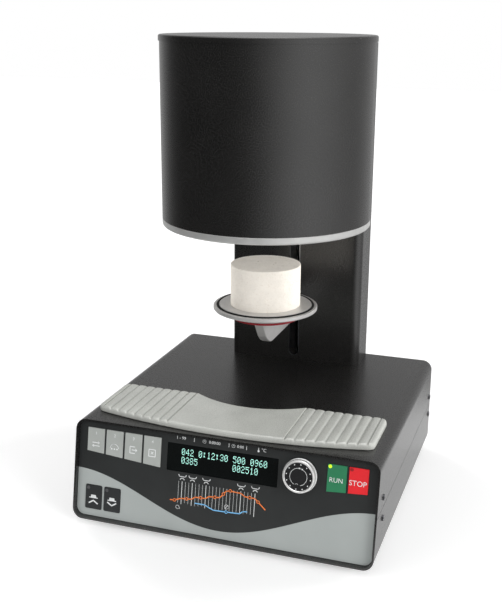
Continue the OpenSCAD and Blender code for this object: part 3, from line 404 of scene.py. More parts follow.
@dataclass(frozen=True)
class FilmFinish(Finish):
    """Printed front film: dark above a wave and light below it."""

    dark: Colour = (0.024, 0.026, 0.026)
    light: Colour = (0.40, 0.43, 0.42)
    middle: float = 32.5 * MM
    swing: float = 21.55 * MM
    rise: float = 0.95 * MM
    half_width: float = 160 * MM
    soft: float = 0.08 * MM
    grain: float = 0.35 * MM
    relief: float = 0.008 * MM
    roughness: float = 0.43
    uneven: float = 0.05
    specular: float = 0.35
    dark_shade: float = 0.08
    light_shade: float = 0.03
    patch: float = 30 * MM

    def dress(self, graph: FinishGraph) -> None:
        """Adds the wave between the two colours and the film's fine grain.

        Args:
            graph: The material's graph.
        """
        x, _, z = graph.add("ShaderNodeSeparateXYZ", {0: graph.place}).outputs
        offset = -PANEL.foot + PANEL.film_depth * math.sin(PANEL.tilt)
        climb = graph.math("DIVIDE", graph.math("ADD", z, offset), math.cos(PANEL.tilt))
        across = graph.math("DIVIDE", x, self.half_width)
        swing = graph.math("COSINE", graph.math("MULTIPLY", across, math.pi))
        wave = graph.math("MULTIPLY", swing, -self.swing)
        edge = graph.math("ADD", wave, graph.math("MULTIPLY", across, self.rise))
        height = graph.math("SUBTRACT", climb, graph.math("ADD", edge, self.middle))
        side = graph.spread(height, 1.0, 0.0, -self.soft, self.soft)
        dark = graph.shaded(self.dark, self.dark_shade, self.patch)
        light = graph.shaded(self.light, self.light_shade, self.patch)
        grain = graph.noise(self.grain, detail=2)
        graph.wire(Base_Color=graph.mix(side, dark, light),
                   Roughness=graph.vary(grain, self.roughness, self.uneven),
                   Specular_IOR_Level=self.specular)
        graph.bump(grain, self.relief)


@dataclass(frozen=True)
class BoardFinish(Finish):
    """Circuit board with solder mask and the shadow of its tracks."""

    mask: Colour = (0.02, 0.12, 0.05)
    track: Colour = (0.05, 0.22, 0.09)
    pitch: float = 4 * MM
    track_width: float = 0.03
    relief: float = 0.03 * MM
    roughness: float = 0.35

    def dress(self, graph: FinishGraph) -> None:
        """Adds the tracks under the mask.

        Args:
            graph: The material's graph.
        """
        ground, raised = (0, 0, 0), (1, 1, 1)
        inputs = {"Vector": graph.place, "Scale": 1 / self.pitch, "Mortar Size": self.track_width,
                  "Color1": ground, "Color2": ground, "Mortar": raised}
        tracks = graph.add("ShaderNodeTexBrick", inputs).outputs["Fac"]
        graph.wire(Base_Color=graph.mix(tracks, self.mask, self.track), Roughness=self.roughness)
        graph.bump(tracks, self.relief)


@dataclass(frozen=True)
class WindingFinish(Finish):
    """Enamelled copper wire wound close together round an upright axis."""

    centre: Point
    colour: Colour = (0.5, 0.2, 0.06)
    turns: float = 150.0
    shadow: float = 0.4
    metallic: float = 0.6
    roughness: float = 0.35
    relief: float = 0.3 * MM

    def dress(self, graph: FinishGraph) -> None:
        """Adds the round backs of the wires.

        Args:
            graph: The material's graph.
        """
        x, y, _ = graph.around(self.centre)
        turn = graph.math("MULTIPLY", graph.math("ARCTAN2", y, x), self.turns)
        wires = graph.math("ABSOLUTE", graph.math("SINE", turn))
        between = tuple(self.shadow * c for c in self.colour)
        graph.wire(Base_Color=graph.mix(wires, between, self.colour),
                   Metallic=self.metallic, Roughness=self.roughness)
        graph.bump(wires, self.relief)


@dataclass(frozen=True)
class Panel:
    """The sloping control panel."""

    tilt: float = math.radians(10.4)
    front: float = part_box("base_tray")[0].y
    foot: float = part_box("base_tray")[0].z
    film_depth: float = 5 * MM
    key_rise: float = 0.6 * MM
    glass_sink: float = -0.2 * MM

    def lay(self, x: float, s: float, proud: float = 0.0) -> Matrix:
        """Gives the matrix that lays a flat drawing on the film.

        Args:
            x: Place of the drawing's origin across the panel.
            s: Its place up the slope.
            proud: Its height above the film.

        Returns:
            The matrix.
        """
        sine, cosine = math.sin(self.tilt), math.cos(self.tilt)
        depth = self.film_depth - proud
        origin = (x, self.front + s * sine + depth * cosine, self.foot + s * cosine - depth * sine)
        across, up, out = (1, 0, 0), (0, sine, cosine), (0, -cosine, sine)
        return Matrix([(across[i], up[i], out[i], origin[i]) for i in range(3)] + [(0, 0, 0, 1)])


PANEL = Panel()


def upright_axis(node: str) -> Point:
    """Gives where the upright axis through the middle of a CAD node stands."""
    low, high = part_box(node)
    return ((low.x + high.x) / 2, (low.y + high.y) / 2)


HEAD_CENTRE = upright_axis("head_shell")
BLACK = (0.0100, 0.0096, 0.0092)

FINISHES = {
    "powder_black": PaintFinish(BLACK),
    "saddle_black": PaintFinish(BLACK, 0.5, 0.4),
    "steel_sheet": MetalFinish((0.5, 0.51, 0.53), 0.42, grain=6 * MM),
    "screw_steel": MetalFinish((0.12, 0.12, 0.13), 0.4),
    # Nearly black although the rails are bare steel sheet: painted shade, so the seam along the
    # base's side shows as a dark line.
    "rail_seam_shade": MetalFinish((0.02, 0.02, 0.021), 0.5),
    "ground_steel": MetalFinish((0.62, 0.62, 0.64), 0.18, Lay.DRAWN),
    "stainless": MetalFinish((0.55, 0.54, 0.53), 0.35, Lay.DRAWN),
    "rubber_black": PlasticFinish((0.014, 0.014, 0.014), 0.75, 0.25),
    "rubber_red": PlasticFinish((0.22, 0.009, 0.015), 0.6, 0.3),
    "rest_grey": PlasticFinish((0.51, 0.52, 0.485), 0.29, 0.9, 0.7 * MM, 0.010 * MM),
    "plate_black": PaintFinish(BLACK, 0.45, 0.6),
    "film_two_tone": FilmFinish(),
    "key_grey": PlasticFinish((0.40, 0.42, 0.40), 0.42, 0.35),
    "key_dark": PlasticFinish((0.022, 0.024, 0.025), 0.42, 0.35),
    "key_green": PlasticFinish((0.03, 0.22, 0.10), 0.4, 0.35),
    "key_red": PlasticFinish((0.80, 0.02, 0.028), 0.4, 0.35),
    "display_glass": GlassFinish((0.004, 0.005, 0.005)),
    "display_dark": PlasticFinish((0.006, 0.007, 0.007), 0.5, 0.3),
    "knob_satin": MetalFinish((0.88, 0.88, 0.87), 0.32, grain=0.3 * MM, metallic=0.55),
    "knob_black": PlasticFinish((0.012, 0.012, 0.013), 0.4, 0.4),
    "board_green": BoardFinish(),
    "copper_winding": WindingFinish(upright_axis("transformer")),
    "plastic_black": PlasticFinish((0.012, 0.012, 0.012), 0.5, 0.4),
    "rocker_black": PlasticFinish((0.01, 0.01, 0.01), 0.28, 0.5),
    "satin_aluminium": MetalFinish((0.62, 0.61, 0.60), 0.48, Lay.TURNED, HEAD_CENTRE, metallic=0.6),
    "ring_aluminium": MetalFinish((0.62, 0.62, 0.61), 0.45, Lay.TURNED, HEAD_CENTRE, metallic=0.6),
    "hose_grey": PlasticFinish((0.06, 0.06, 0.065), 0.5, 0.4),
    "motor_dark": PaintFinish((0.02, 0.02, 0.022), 0.45, 0.5, 0.5 * MM),
    "brass": MetalFinish((0.72, 0.50, 0.22), 0.3, Lay.TURNED),
    "fibre_white": FibreFinish((0.88, 0.83, 0.755), (0.70, 0.61, 0.52)),
    "quartz": GlassFinish((0.93, 0.95, 0.96), 0.05, 1.0),
    "resistance_wire": MetalFinish((0.20, 0.18, 0.16), 0.55),
    "ceramic_white": PlasticFinish((0.75, 0.73, 0.68), 0.6, 0.4),
    "print_white": PlasticFinish((0.78, 0.80, 0.80), 0.5, 0.3),
    "print_orange": PlasticFinish((0.88, 0.22, 0.05), 0.5, 0.3),
    "print_blue": PlasticFinish((0.20, 0.52, 0.86), 0.5, 0.3),
    "lamp_green": GlowFinish((0.45, 0.75, 0.02), 0.9),
    "lamp_off": GlassFinish((0.08, 0.08, 0.085), 0.25),
    "lamp_dark": GlassFinish((0.34, 0.012, 0.016), 0.3),
    "digit_glow": GlowFinish((0.46, 0.92, 0.80), 0.95),
}


class Bench:
    """Blender's modelling tools, used on one mesh at a time."""

    made: dict[str, bpy.types.Material] = {}

    @classmethod
    def finish(cls, name: str) -> bpy.types.Material:
        """Makes the material of a finish the first time it is asked for.

        Args:
            name: The finish's name.

        Returns:
            The material.
        """
        if name not in cls.made:
            cls.made[name] = FINISHES[name].make(name)
        return cls.made[name]

    @staticmethod
    def clear() -> None:
        """Goes back to object mode with nothing selected."""
        if bpy.context.object and bpy.context.object.mode != "OBJECT":
            bpy.ops.object.mode_set(mode="OBJECT")
        bpy.ops.object.select_all(action="DESELECT")

    @classmethod
    def take(cls, *pieces: bpy.types.Object) -> None:
        """Selects pieces alone, the first of them as the active one.

        Args:
            *pieces: The pieces.
        """
        cls.clear()
        for piece in pieces:
            piece.select_set(True)
        bpy.context.view_layer.objects.active = pieces[0]

    @classmethod
    def start(cls, shape: str, **sizes: object) -> bpy.types.Object:
        """Adds a primitive with nothing else selected.

        Args:
            shape: Name of the primitive.
            **sizes: Its sizes and place.

        Returns:
            The new object, in object mode.
        """
        cls.clear()
        getattr(bpy.ops.mesh, f"primitive_{shape}_add")(**sizes)
        bpy.ops.object.transform_apply(location=True, rotation=True, scale=True)
        return bpy.context.object

    @classmethod
    def edit(cls, piece: bpy.types.Object, kind: str = "FACE", action: str = "DESELECT") -> None:
        """Opens a piece in edit mode.

        Args:
            piece: The piece.
            kind: What is worked on: vertices, edges or faces.
            action: Whether all of it or nothing is selected.
        """
        cls.take(piece)
        bpy.ops.object.mode_set(mode="EDIT")
        bpy.ops.mesh.select_mode(type=kind)
        bpy.ops.mesh.select_all(action=action)

    @staticmethod
    def pick(piece: bpy.types.Object, test: Callable[[object], bool], kind: str = "") -> None:
        """Selects only the elements of the piece in edit mode that pass a test.

        Args:
            piece: The piece in edit mode.
            test: Says whether a face, edge or vertex is wanted.
            kind: Vertices, edges or faces, where it changes.
        """
        if kind:
            bpy.ops.mesh.select_mode(type=kind)
        bpy.ops.mesh.select_all(action="DESELECT")
        mesh = bmesh.from_edit_mesh(piece.data)
        by_vertex, by_edge, _ = bpy.context.tool_settings.mesh_select_mode
        group = mesh.verts if by_vertex else mesh.edges if by_edge else mesh.faces
        for item in [item for item in group if test(item)]:
            item.select_set(True)
        mesh.select_flush_mode()
        bmesh.update_edit_mesh(piece.data)

    @staticmethod
    def pull(x: float, y: float, z: float) -> None:
        """Extrudes what is selected and moves it."""
        bpy.ops.mesh.extrude_region_move(TRANSFORM_OT_translate={"value": (x, y, z)})

    @staticmethod
    def done(smooth: float | None = None) -> None:
        """Leaves edit mode.

        Args:
            smooth: Angle in degrees below which the shading is smoothed.
        """
        bpy.ops.object.mode_set(mode="OBJECT")
        if smooth is not None:
            bpy.ops.object.shade_smooth_by_angle(angle=math.radians(smooth))

    @classmethod
    def modify(cls, piece: bpy.types.Object, kind: str, **settings: object) -> None:
        """Adds a modifier to a piece and applies it.

        Args:
            piece: The piece.
            kind: The modifier's type.
            **settings: Its settings.
        """
        cls.take(piece)
        modifier = piece.modifiers.new(kind.lower(), kind)
        for key, value in settings.items():
            setattr(modifier, key, value)
        bpy.ops.object.modifier_apply(modifier=modifier.name)

    @classmethod
    def outward(cls, piece: bpy.types.Object, smooth: float | None = None) -> None:
        """Merges a mesh's doubles and turns its faces outwards.

        Args:
            piece: The piece.
            smooth: Angle in degrees below which the shading is smoothed.
        """
        cls.edit(piece, action="SELECT")
        bpy.ops.mesh.remove_doubles(threshold=1e-7)
        bpy.ops.mesh.normals_make_consistent(inside=False)
        cls.done(smooth)

    @staticmethod
    def lay(piece: bpy.types.Object, matrix: Matrix) -> bpy.types.Object:
        """Moves a piece's mesh and leaves its object at the origin.

        Args:
            piece: The piece.
            matrix: Where it goes.

        Returns:
            The piece.
        """
        piece.data.transform(matrix)
        piece.data.update()
        return piece

    @classmethod
    def join(cls, pieces: Sequence[bpy.types.Object]) -> bpy.types.Object:
        """Joins several objects.

        Args:
            pieces: The objects.

        Returns:
            The first of them, with the others in it.
        """
        cls.take(*pieces)
        if len(pieces) > 1:
            bpy.ops.object.join()
        return pieces[0]

    @staticmethod
    def copies(model: bpy.types.Object, places: Sequence[Matrix]) -> bpy.types.Object:
        """Copies a modelled shape to several places and joins the copies.

        Args:
            model: The shape, modelled once around the origin.
            places: Where each copy goes.

        Returns:
            One object with all the copies.
        """
        whole = bmesh.new()
        for place in places:
            part = model.data.copy()
            part.transform(place)
            whole.from_mesh(part)
            bpy.data.meshes.remove(part)
        whole.to_mesh(model.data)
        whole.free()
        return model

    @classmethod
    def place(cls, piece: bpy.types.Object, name: str, body: str, finish: str, slot: str,
              replaces: Sequence[str] = ()) -> None:
        """Names and dresses a finished piece and makes it ride on its body.

        Args:
            piece: The piece, with its place in its mesh.
            name: The piece's name.
            body: The CAD body that it rides on.
            finish: The finish that it wears.
            slot: The record's material slot. It is not used.
            replaces: The CAD nodes that it stands for.
        """
        cls.clear()
        piece.name = piece.data.name = name
        piece.data.materials.clear()
        piece.data.materials.append(cls.finish(finish))
        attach(piece, body)
        if replaces:
            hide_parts(*replaces)
        log.info("%s: %d faces on %s", name, len(piece.data.polygons), body)


@dataclass
class Drawing:
    """Flat print made of strokes, dots and words, raised a hair above what it is printed on."""

    thickness: float = 0.03 * MM
    strokes: list[Matrix] = field(default_factory=list)
    discs: list[Matrix] = field(default_factory=list)
    words: list[tuple[str, float, float, float]] = field(default_factory=list)
    disc_sides: int = 16
    arc_step: float = 10
    letter_steps: int = 3

    def line(self, points: Sequence[Point], width: float, x: float = 0.0) -> "Drawing":
        """Draws a line through points, in millimetres.

        Args:
            points: The points.
            width: Width of the line.
            x: Distance across that the points are moved by.

        Returns:
            The drawing.
        """
        points = [(x + across, up) for across, up in points]
        for (x0, y0), (x1, y1) in zip(points, points[1:]):
            length = math.hypot(x1 - x0, y1 - y0)
            turn = Matrix.Rotation(math.atan2(y1 - y0, x1 - x0), 4, "Z")
            size = Matrix.Diagonal((length * MM, width * MM, self.thickness, 1))
            middle = Matrix.Translation(((x0 + x1) / 2 * MM, (y0 + y1) / 2 * MM, 0))
            self.strokes.append(middle @ turn @ size)
        for place in points[1:-1]:
            self.disc(*place, width / 2)
        return self

    def arc(self, x: float, y: float, r: float, start: float, end: float,
            width: float) -> "Drawing":
        """Draws an arc, in millimetres and degrees.

        Args:
            x: Its centre across.
            y: Its centre up.
            r: Its radius.
            start: Angle that it starts at.
            end: Angle that it ends at.
            width: Width of the line.

        Returns:
            The drawing.
        """
        steps = max(4, round(abs(end - start) / self.arc_step))
        angles = [math.radians(start + (end - start) * i / steps) for i in range(steps + 1)]
        return self.line([(x + r * math.cos(a), y + r * math.sin(a)) for a in angles], width)

    def disc(self, x: float, y: float, r: float) -> "Drawing":
        """Draws a filled disc, in millimetres.

        Args:
            x: Its centre across.
            y: Its centre up.
            r: Its radius.

        Returns:
            The drawing.
        """
        size = Matrix.Diagonal((r * MM, r * MM, self.thickness, 1))
        self.discs.append(Matrix.Translation((x * MM, y * MM, 0)) @ size)
        return self

    def word(self, text: str, x: float, y: float, size: float) -> "Drawing":
        """Writes a word centred on a point, in millimetres."""
        self.words.append((text, x, y, size))
        return self

    def make(self) -> bpy.types.Object:
        """Turns the drawing into one mesh in the XY plane.

        Returns:
            The mesh object.
        """
        pieces = []
        if self.strokes:
            bar = Bench.start("plane", size=1)
            Bench.edit(bar, action="SELECT")
            Bench.pull(0, 0, 1)
            Bench.done()
            Bench.outward(bar)
            pieces.append(Bench.copies(bar, self.strokes))
        if self.discs:
            disc = Bench.start("cylinder", vertices=self.disc_sides, radius=1, depth=1,
                               location=(0, 0, 0.5))
            pieces.append(Bench.copies(disc, self.discs))
        pieces += [self.lettering(*word) for word in self.words]
        return Bench.join(pieces)

    def lettering(self, text: str, x: float, y: float, size: float) -> bpy.types.Object:
        """Makes the mesh of a word.

        Args:
            text: The word.
            x: Its middle across, in millimetres.
            y: Its middle up, in millimetres.
            size: The size of its letters, in millimetres.

        Returns:
            The mesh object.
        """
        Bench.clear()
        bpy.ops.object.text_add(location=(0, 0, 0))
        letters = bpy.context.object.data
        letters.body = text
        letters.size = size * MM
        letters.extrude = self.thickness / 2
        letters.align_x, letters.align_y = "CENTER", "CENTER"
        letters.resolution_u = self.letter_steps
        bpy.ops.object.convert(target="MESH")
        place = Matrix.Translation((x * MM, y * MM, self.thickness / 2))
        return Bench.lay(bpy.context.object, place)


@dataclass
class HandRest:
    """The moulded hand rest with its bowed front, recessed rear and ribbed ends."""

    bow_r: float = 585 * MM
    corner_r: float = 9 * MM
    corner_step: int = 8
    top_round: float = 3 * MM
    top_steps: int = 8
    low_round: float = 1.6 * MM
    low_steps: int = 4
    recess_half: float = 60.5 * MM
    recess_depth: float = 20 * MM
    plain_steps: int = 20
    rib_pitch: float = 10 * MM
    rib_count: int = 8
    rib_depth: float = 1.4 * MM
    rib_sharpness: float = 3.4
    rib_margin: float = 6 * MM
    rib_steps: int = 10
    run_in: Point = (1.2 * MM, 0.5 * MM)
    run_out: float = 0.4 * MM
    end_gap: float = 0.02 * MM
    stud_r: float = 2 * MM
    stud_edge: float = 0.4 * MM
    stud_root: float = 1 * MM
    stud_share: float = 0.38
    stud_front: float = 30 * MM
    stud_rear: float = 14 * MM

    def __post_init__(self) -> None:
        """Works out the outline from the frame."""
        low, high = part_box("hand_rest")
        self.half = high.x
        self.nose, self.rear = low.y, high.y
        self.low, self.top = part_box("top_cover")[1].z, high.z
        self.stud_low = low.z
        self.corner_x = self.half - self.corner_r
        self.bow_y = self.nose + self.bow_r
        self.bow_angle = math.asin(self.corner_x / (self.bow_r - self.corner_r))
        self.corner_y = self.bow_y - (self.bow_r - self.corner_r) * math.cos(self.bow_angle)
        self.recess_r = (self.recess_half ** 2 + self.recess_depth ** 2) / (2 * self.recess_depth)
        self.recess_y = self.rear - self.recess_depth + self.recess_r
        self.rib_end = self.half - self.rib_margin
        self.rib_start = self.rib_end - self.rib_pitch * self.rib_count

    def corner(self, x: float) -> float:
        """Gives how far the corner's arc reaches past its centre at x."""
        return math.sqrt(max(0.0, self.corner_r ** 2 - (x - self.corner_x) ** 2))

    def front(self, x: float) -> float:
        """Gives the front edge.

        Args:
            x: Place across the rest.

        Returns:
            The edge's y.
        """
        if x < self.bow_r * math.sin(self.bow_angle):
            return self.bow_y - math.sqrt(self.bow_r ** 2 - x * x)
        return self.corner_y - self.corner(x)

    def back(self, x: float) -> float:
        """Gives the rear edge.

        Args:
            x: Place across the rest.

        Returns:
            The edge's y.
        """
        if x < self.recess_half:
            return self.recess_y - math.sqrt(self.recess_r ** 2 - x * x)
        if x < self.corner_x:
            return self.rear
        return self.rear - self.corner_r + self.corner(x)

    def fall(self, x: float, r: float) -> float:
        """Gives how far an end of rounding r has fallen away at x."""
        u = max(0.0, x - self.half + r)
        return r - math.sqrt(max(0.0, r * r - u * u))

    def rib_drop(self, x: float) -> float:
        """Gives the depth of the ribs' surface below the top.

        Args:
            x: Place across the rest.

        Returns:
            The depth, or nothing beside the ribs.
        """
        u = (x - self.rib_start) / self.rib_pitch
        if u < -0.001 or u > self.rib_count + 0.001:
            return 0.0
        return self.rib_depth * abs(2 * (u - math.floor(u + 0.0005)) - 1) ** self.rib_sharpness

    def stations(self) -> list[float]:
        """Lists the places across the rest where its section changes.

        Returns:
            Their x, from the middle to the end.
        """
        plain = [self.rib_start * i / self.plain_steps for i in range(1, self.plain_steps)]
        near = [self.rib_start - gap for gap in self.run_in]
        edge = [self.recess_half] if self.recess_half < near[1] else []
        steps = self.rib_steps * self.rib_count
        ribs = [self.rib_start + self.rib_pitch * i / self.rib_steps for i in range(steps + 1)]
        past = [self.rib_end + self.run_out, self.half - self.end_gap]
        angles = [math.radians(a) for a in range(self.corner_step, 90, self.corner_step)]
        ends = [self.corner_x + self.corner_r * math.sin(a) for a in angles]
        return sorted({*plain, *edge, *near, *ribs, *past, *ends})

    def span(self, x: float) -> tuple[float, float, float, float]:
        """Gives the edges of the section.

        Args:
            x: Place across the rest.

        Returns:
            The front, rear, lower and upper edge.
        """
        low = self.low + self.fall(x, self.low_round)
        top = self.top - self.fall(x, self.top_round) - self.rib_drop(x)
        return self.front(x), self.back(x), low, top

    def build(self) -> None:
        """Draws the section at the middle, pulls it out to one end and mirrors it."""
        rest = self.section()
        last_x, last = 0.0, self.span(0.0)
        for x in self.stations():
            now = self.span(x)
            old_middle = ((last[0] + last[1]) / 2, (last[2] + last[3]) / 2)
            new_middle = ((now[0] + now[1]) / 2, (now[2] + now[3]) / 2)
            Bench.pull(x - last_x, new_middle[0] - old_middle[0], new_middle[1] - old_middle[1])
            deeper = (now[1] - now[0]) / (last[1] - last[0])
            higher = (now[3] - now[2]) / (last[3] - last[2])
            bpy.ops.transform.resize(value=(1, deeper, higher), center_override=(x, *new_middle))
            last_x, last = x, now
        Bench.pick(rest, lambda f: all(abs(v.co.x) < SAME for v in f.verts))
        bpy.ops.mesh.delete(type="FACE")
        Bench.done()
        Bench.modify(rest, "MIRROR", use_axis=(True, False, False), merge_threshold=1e-5)
        Bench.outward(rest, smooth=28)
        whole = Bench.join([rest, self.studs()])
        Bench.place(whole, "hand_rest_moulding", "root", "rest_grey", "rest_grey", ["hand_rest"])

    def section(self) -> bpy.types.Object:
        """Draws the rounded section at the middle of the rest.

        Returns:
            The section, in edit mode with its face selected.
        """
        y0, y1, z0, z1 = self.span(0.0)
        rest = Bench.start("plane", size=1, rotation=(0, math.pi / 2, 0))
        middle = Vector((0, (y0 + y1) / 2, (z0 + z1) / 2))
        Bench.lay(rest, Matrix.Translation(middle) @ Matrix.Diagonal((1, y1 - y0, z1 - z0, 1)))
        Bench.edit(rest, "VERT")
        for is_top, r, steps in ((True, self.top_round, self.top_steps),
                                 (False, self.low_round, self.low_steps)):
            Bench.pick(rest, lambda v: (v.co.z > middle.z) == is_top and len(v.link_edges) == 2
                       and abs(abs(v.co.y - middle.y) - (y1 - y0) / 2) < SAME
                       and min(abs(v.co.z - z0), abs(v.co.z - z1)) < SAME)
            bpy.ops.mesh.bevel(offset=r, segments=steps, affect="VERTICES")
        bpy.ops.mesh.select_mode(type="FACE")
        bpy.ops.mesh.select_all(action="SELECT")
        return rest

    def studs(self) -> bpy.types.Object:
        """Models the four locating studs under the rest.

        Returns:
            The studs as one object.
        """
        height = self.low - self.stud_low + self.stud_root
        stud = Bench.start("cylinder", vertices=24, radius=self.stud_r, depth=height,
                           location=(0, 0, self.stud_low + height / 2))
        Bench.edit(stud, "EDGE")
        Bench.pick(stud, lambda e: all(abs(v.co.z - self.stud_low) < SAME for v in e.verts))
        bpy.ops.mesh.bevel(offset=self.stud_edge, segments=2)
        Bench.done(35)
        x = self.half * 2 * self.stud_share
        rows = (self.nose + self.stud_front, self.rear - self.stud_rear)
        return Bench.copies(stud, [Matrix.Translation((side * x, y, 0)) for side in (-1, 1)
                                   for y in rows])


@dataclass
class FiringBlock:
    """The light firebrick block on the table, with its real pits."""

    edge: float = 0.9 * MM
    rows: int = 26
    columns: int = 96
    rings: int = 15
    side_room: float = 0.12 * MM
    end_room: float = 0.1 * MM
    roughness: float = 0.24 * MM
    lump: float = 2.2 * MM
    notch: float = 2.6 * MM
    pits: int = 420
    pit_face: float = 1.2 * MM
    pit_rim: float = 0.42 * MM
    pit_wall: float = 0.1 * MM
    pit_depth: float = 0.35 * MM
    seed: int = 7

    def build(self) -> None:
        """Models the block from a cylinder."""
        low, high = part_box("insulating_block")
        centre = Vector([(a + b) / 2 for a, b in zip(low, high)])
        radius, height = (high.x - low.x) / 2, high.z - low.z
        block = Bench.start("cylinder", vertices=self.columns, radius=radius - self.side_room,
                            depth=height - self.end_room, location=centre)
        Bench.edit(block, "EDGE")
        Bench.pick(block, lambda e: all(v.co.z > centre.z for v in e.verts))
        bpy.ops.mesh.bevel(offset=self.edge, segments=3)
        Bench.pick(block, lambda e: abs(e.verts[0].co.z - e.verts[1].co.z) > height / 2)
        bpy.ops.mesh.subdivide(number_cuts=self.rows)
        Bench.pick(block, lambda f: f.normal.z > 0.99 and len(f.verts) > 8, "FACE")
        for _ in range(self.rings - 1):
            bpy.ops.mesh.inset(thickness=(radius - self.edge) / self.rings, depth=0)
        Bench.done()
        self.press_pits(block)
        rough = bpy.data.textures.new("block_roughness", "CLOUDS")
        rough.noise_scale = self.lump
        rough.noise_depth = 3
        Bench.modify(block, "SUBSURF", subdivision_type="SIMPLE", levels=1, render_levels=1)
        Bench.modify(block, "DISPLACE", texture=rough, strength=self.roughness, mid_level=0.5)
        self.cut_notch(block, Vector((centre.x, centre.y + radius, high.z)))
        Bench.take(block)
        bpy.ops.object.shade_smooth_by_angle(angle=math.radians(40))
        Bench.place(block, "firing_block", "lift", "fibre_white", "fibre_white",
                    ["insulating_block"])

    def press_pits(self, block: bpy.types.Object) -> None:
        """Presses small pits into random faces of the block.

        Args:
            block: The block.
        """
        draw = random.Random(self.seed)
        Bench.edit(block, "FACE")
        faces = [f for f in bmesh.from_edit_mesh(block.data).faces
                 if len(f.verts) == 4 and f.calc_area() > self.pit_face ** 2]
        # Blender puts the first faces in another order in each run, so they are sorted by place.
        unsteady = self.columns + 1
        first = sorted(faces[:unsteady],
                       key=lambda f: [round(c / SAME) for c in f.calc_center_median()])
        indices = [f.index for f in first + faces[unsteady:]]
        chosen = set(draw.sample(indices, min(self.pits, len(indices))))
        Bench.pick(block, lambda f: f.index in chosen)
        bpy.ops.mesh.inset(thickness=self.pit_rim, depth=0, use_individual=True)
        bpy.ops.mesh.inset(thickness=self.pit_wall, depth=-self.pit_depth, use_individual=True)
        Bench.done()

    def cut_notch(self, block: bpy.types.Object, place: Vector) -> None:
        """Cuts the small locating notch at the rear of the upper rim.

        Args:
            block: The block.
            place: Middle of the notch on the rim.
        """
        cutter = Bench.start("cube", size=self.notch, rotation=(0, 0, math.pi / 4), location=place)
        Bench.lay(cutter, Matrix.Translation(place) @ Matrix.Diagonal((1, 1, 2, 1))
                  @ Matrix.Translation(-place))
        Bench.modify(block, "BOOLEAN", operation="DIFFERENCE", object=cutter, solver="EXACT")
        bpy.data.objects.remove(cutter)


@dataclass
class HeatingCoil:
    """The bare resistance wire wound against the inside of the muffle."""

    turns: int = 11
    sides: int = 10
    steps: int = 40
    wire: float = 1 * MM

    def build(self) -> None:
        """Winds a circle of wire with a screw modifier and closes its ends."""
        low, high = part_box("heating_coil")
        radius = (high.x - low.x) / 2 - self.wire
        rise = high.z - low.z - 2 * self.wire
        centre = Vector(((low.x + high.x) / 2, (low.y + high.y) / 2, low.z + self.wire))
        coil = Bench.start("circle", vertices=self.sides, radius=self.wire, fill_type="NOTHING",
                           rotation=(math.pi / 2, 0, 0), location=(radius, 0, 0))
        Bench.modify(coil, "SCREW", angle=2 * math.pi, screw_offset=rise / self.turns,
                     iterations=self.turns, steps=self.steps, render_steps=self.steps,
                     use_merge_vertices=False)
        Bench.lay(coil, Matrix.Translation(centre))
        Bench.edit(coil, "EDGE")
        bpy.ops.mesh.select_non_manifold()
        bpy.ops.mesh.edge_face_add()
        Bench.done()
        Bench.outward(coil, smooth=50)
        Bench.place(coil, "heating_wire", "root", "resistance_wire", "resistance_wire",
                    ["heating_coil"])


@dataclass
class VacuumHose:
    """The rubber hose from the nozzle up through the column to the head."""

    radius: float = 4 * MM
    bore: float = 2.2 * MM
    bend: float = 14 * MM
    bend_steps: int = 12
    rise_steps: int = 40
    sides: int = 24
    slack: float = 0.5 * MM

    def build(self) -> None:
        """Pulls a ring of the hose's section along its two bends and three runs."""
        low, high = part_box("vacuum_hose")
        x = (low.x + high.x) / 2
        start = Vector((x, high.y, low.z + self.radius))
        hose = Bench.start("circle", vertices=self.sides, radius=self.radius, fill_type="NOTHING",
                           rotation=(math.pi / 2, 0, 0), location=start)
        Bench.edit(hose, "EDGE", action="SELECT")
        rise = high.z - low.z - 2 * self.radius - 2 * self.bend
        self.turn(start + Vector((0, 0, self.bend)), 1)
        for _ in range(self.rise_steps):
            Bench.pull(0, 0, rise / self.rise_steps)
        centre = Vector((x, start.y - 2 * self.bend, start.z + self.bend + rise))
        self.turn(centre, -1)
        Bench.pull(0, low.y - centre.y, 0)
        Bench.done()
        Bench.outward(hose)
        Bench.modify(hose, "SOLIDIFY", thickness=self.radius - self.bore, offset=-1)
        bpy.ops.object.shade_smooth_by_angle(angle=math.radians(40))
        for axis in range(3):
            places = [v.co[axis] for v in hose.data.vertices]
            if min(places) < low[axis] - self.slack or max(places) > high[axis] + self.slack:
                log.warning("the hose leaves its place along axis %d", axis)
        Bench.place(hose, "vacuum_tube", "root", "hose_grey", "hose_grey", ["vacuum_hose"])

    def turn(self, centre: Vector, way: int) -> None:
        """Spins the selected ring through a quarter turn.

        Args:
            centre: The bend's centre.
            way: 1 from the back upwards, -1 from below to the front.
        """
        bpy.ops.mesh.spin(steps=self.bend_steps, angle=math.pi / 2, center=centre, axis=(way, 0, 0))


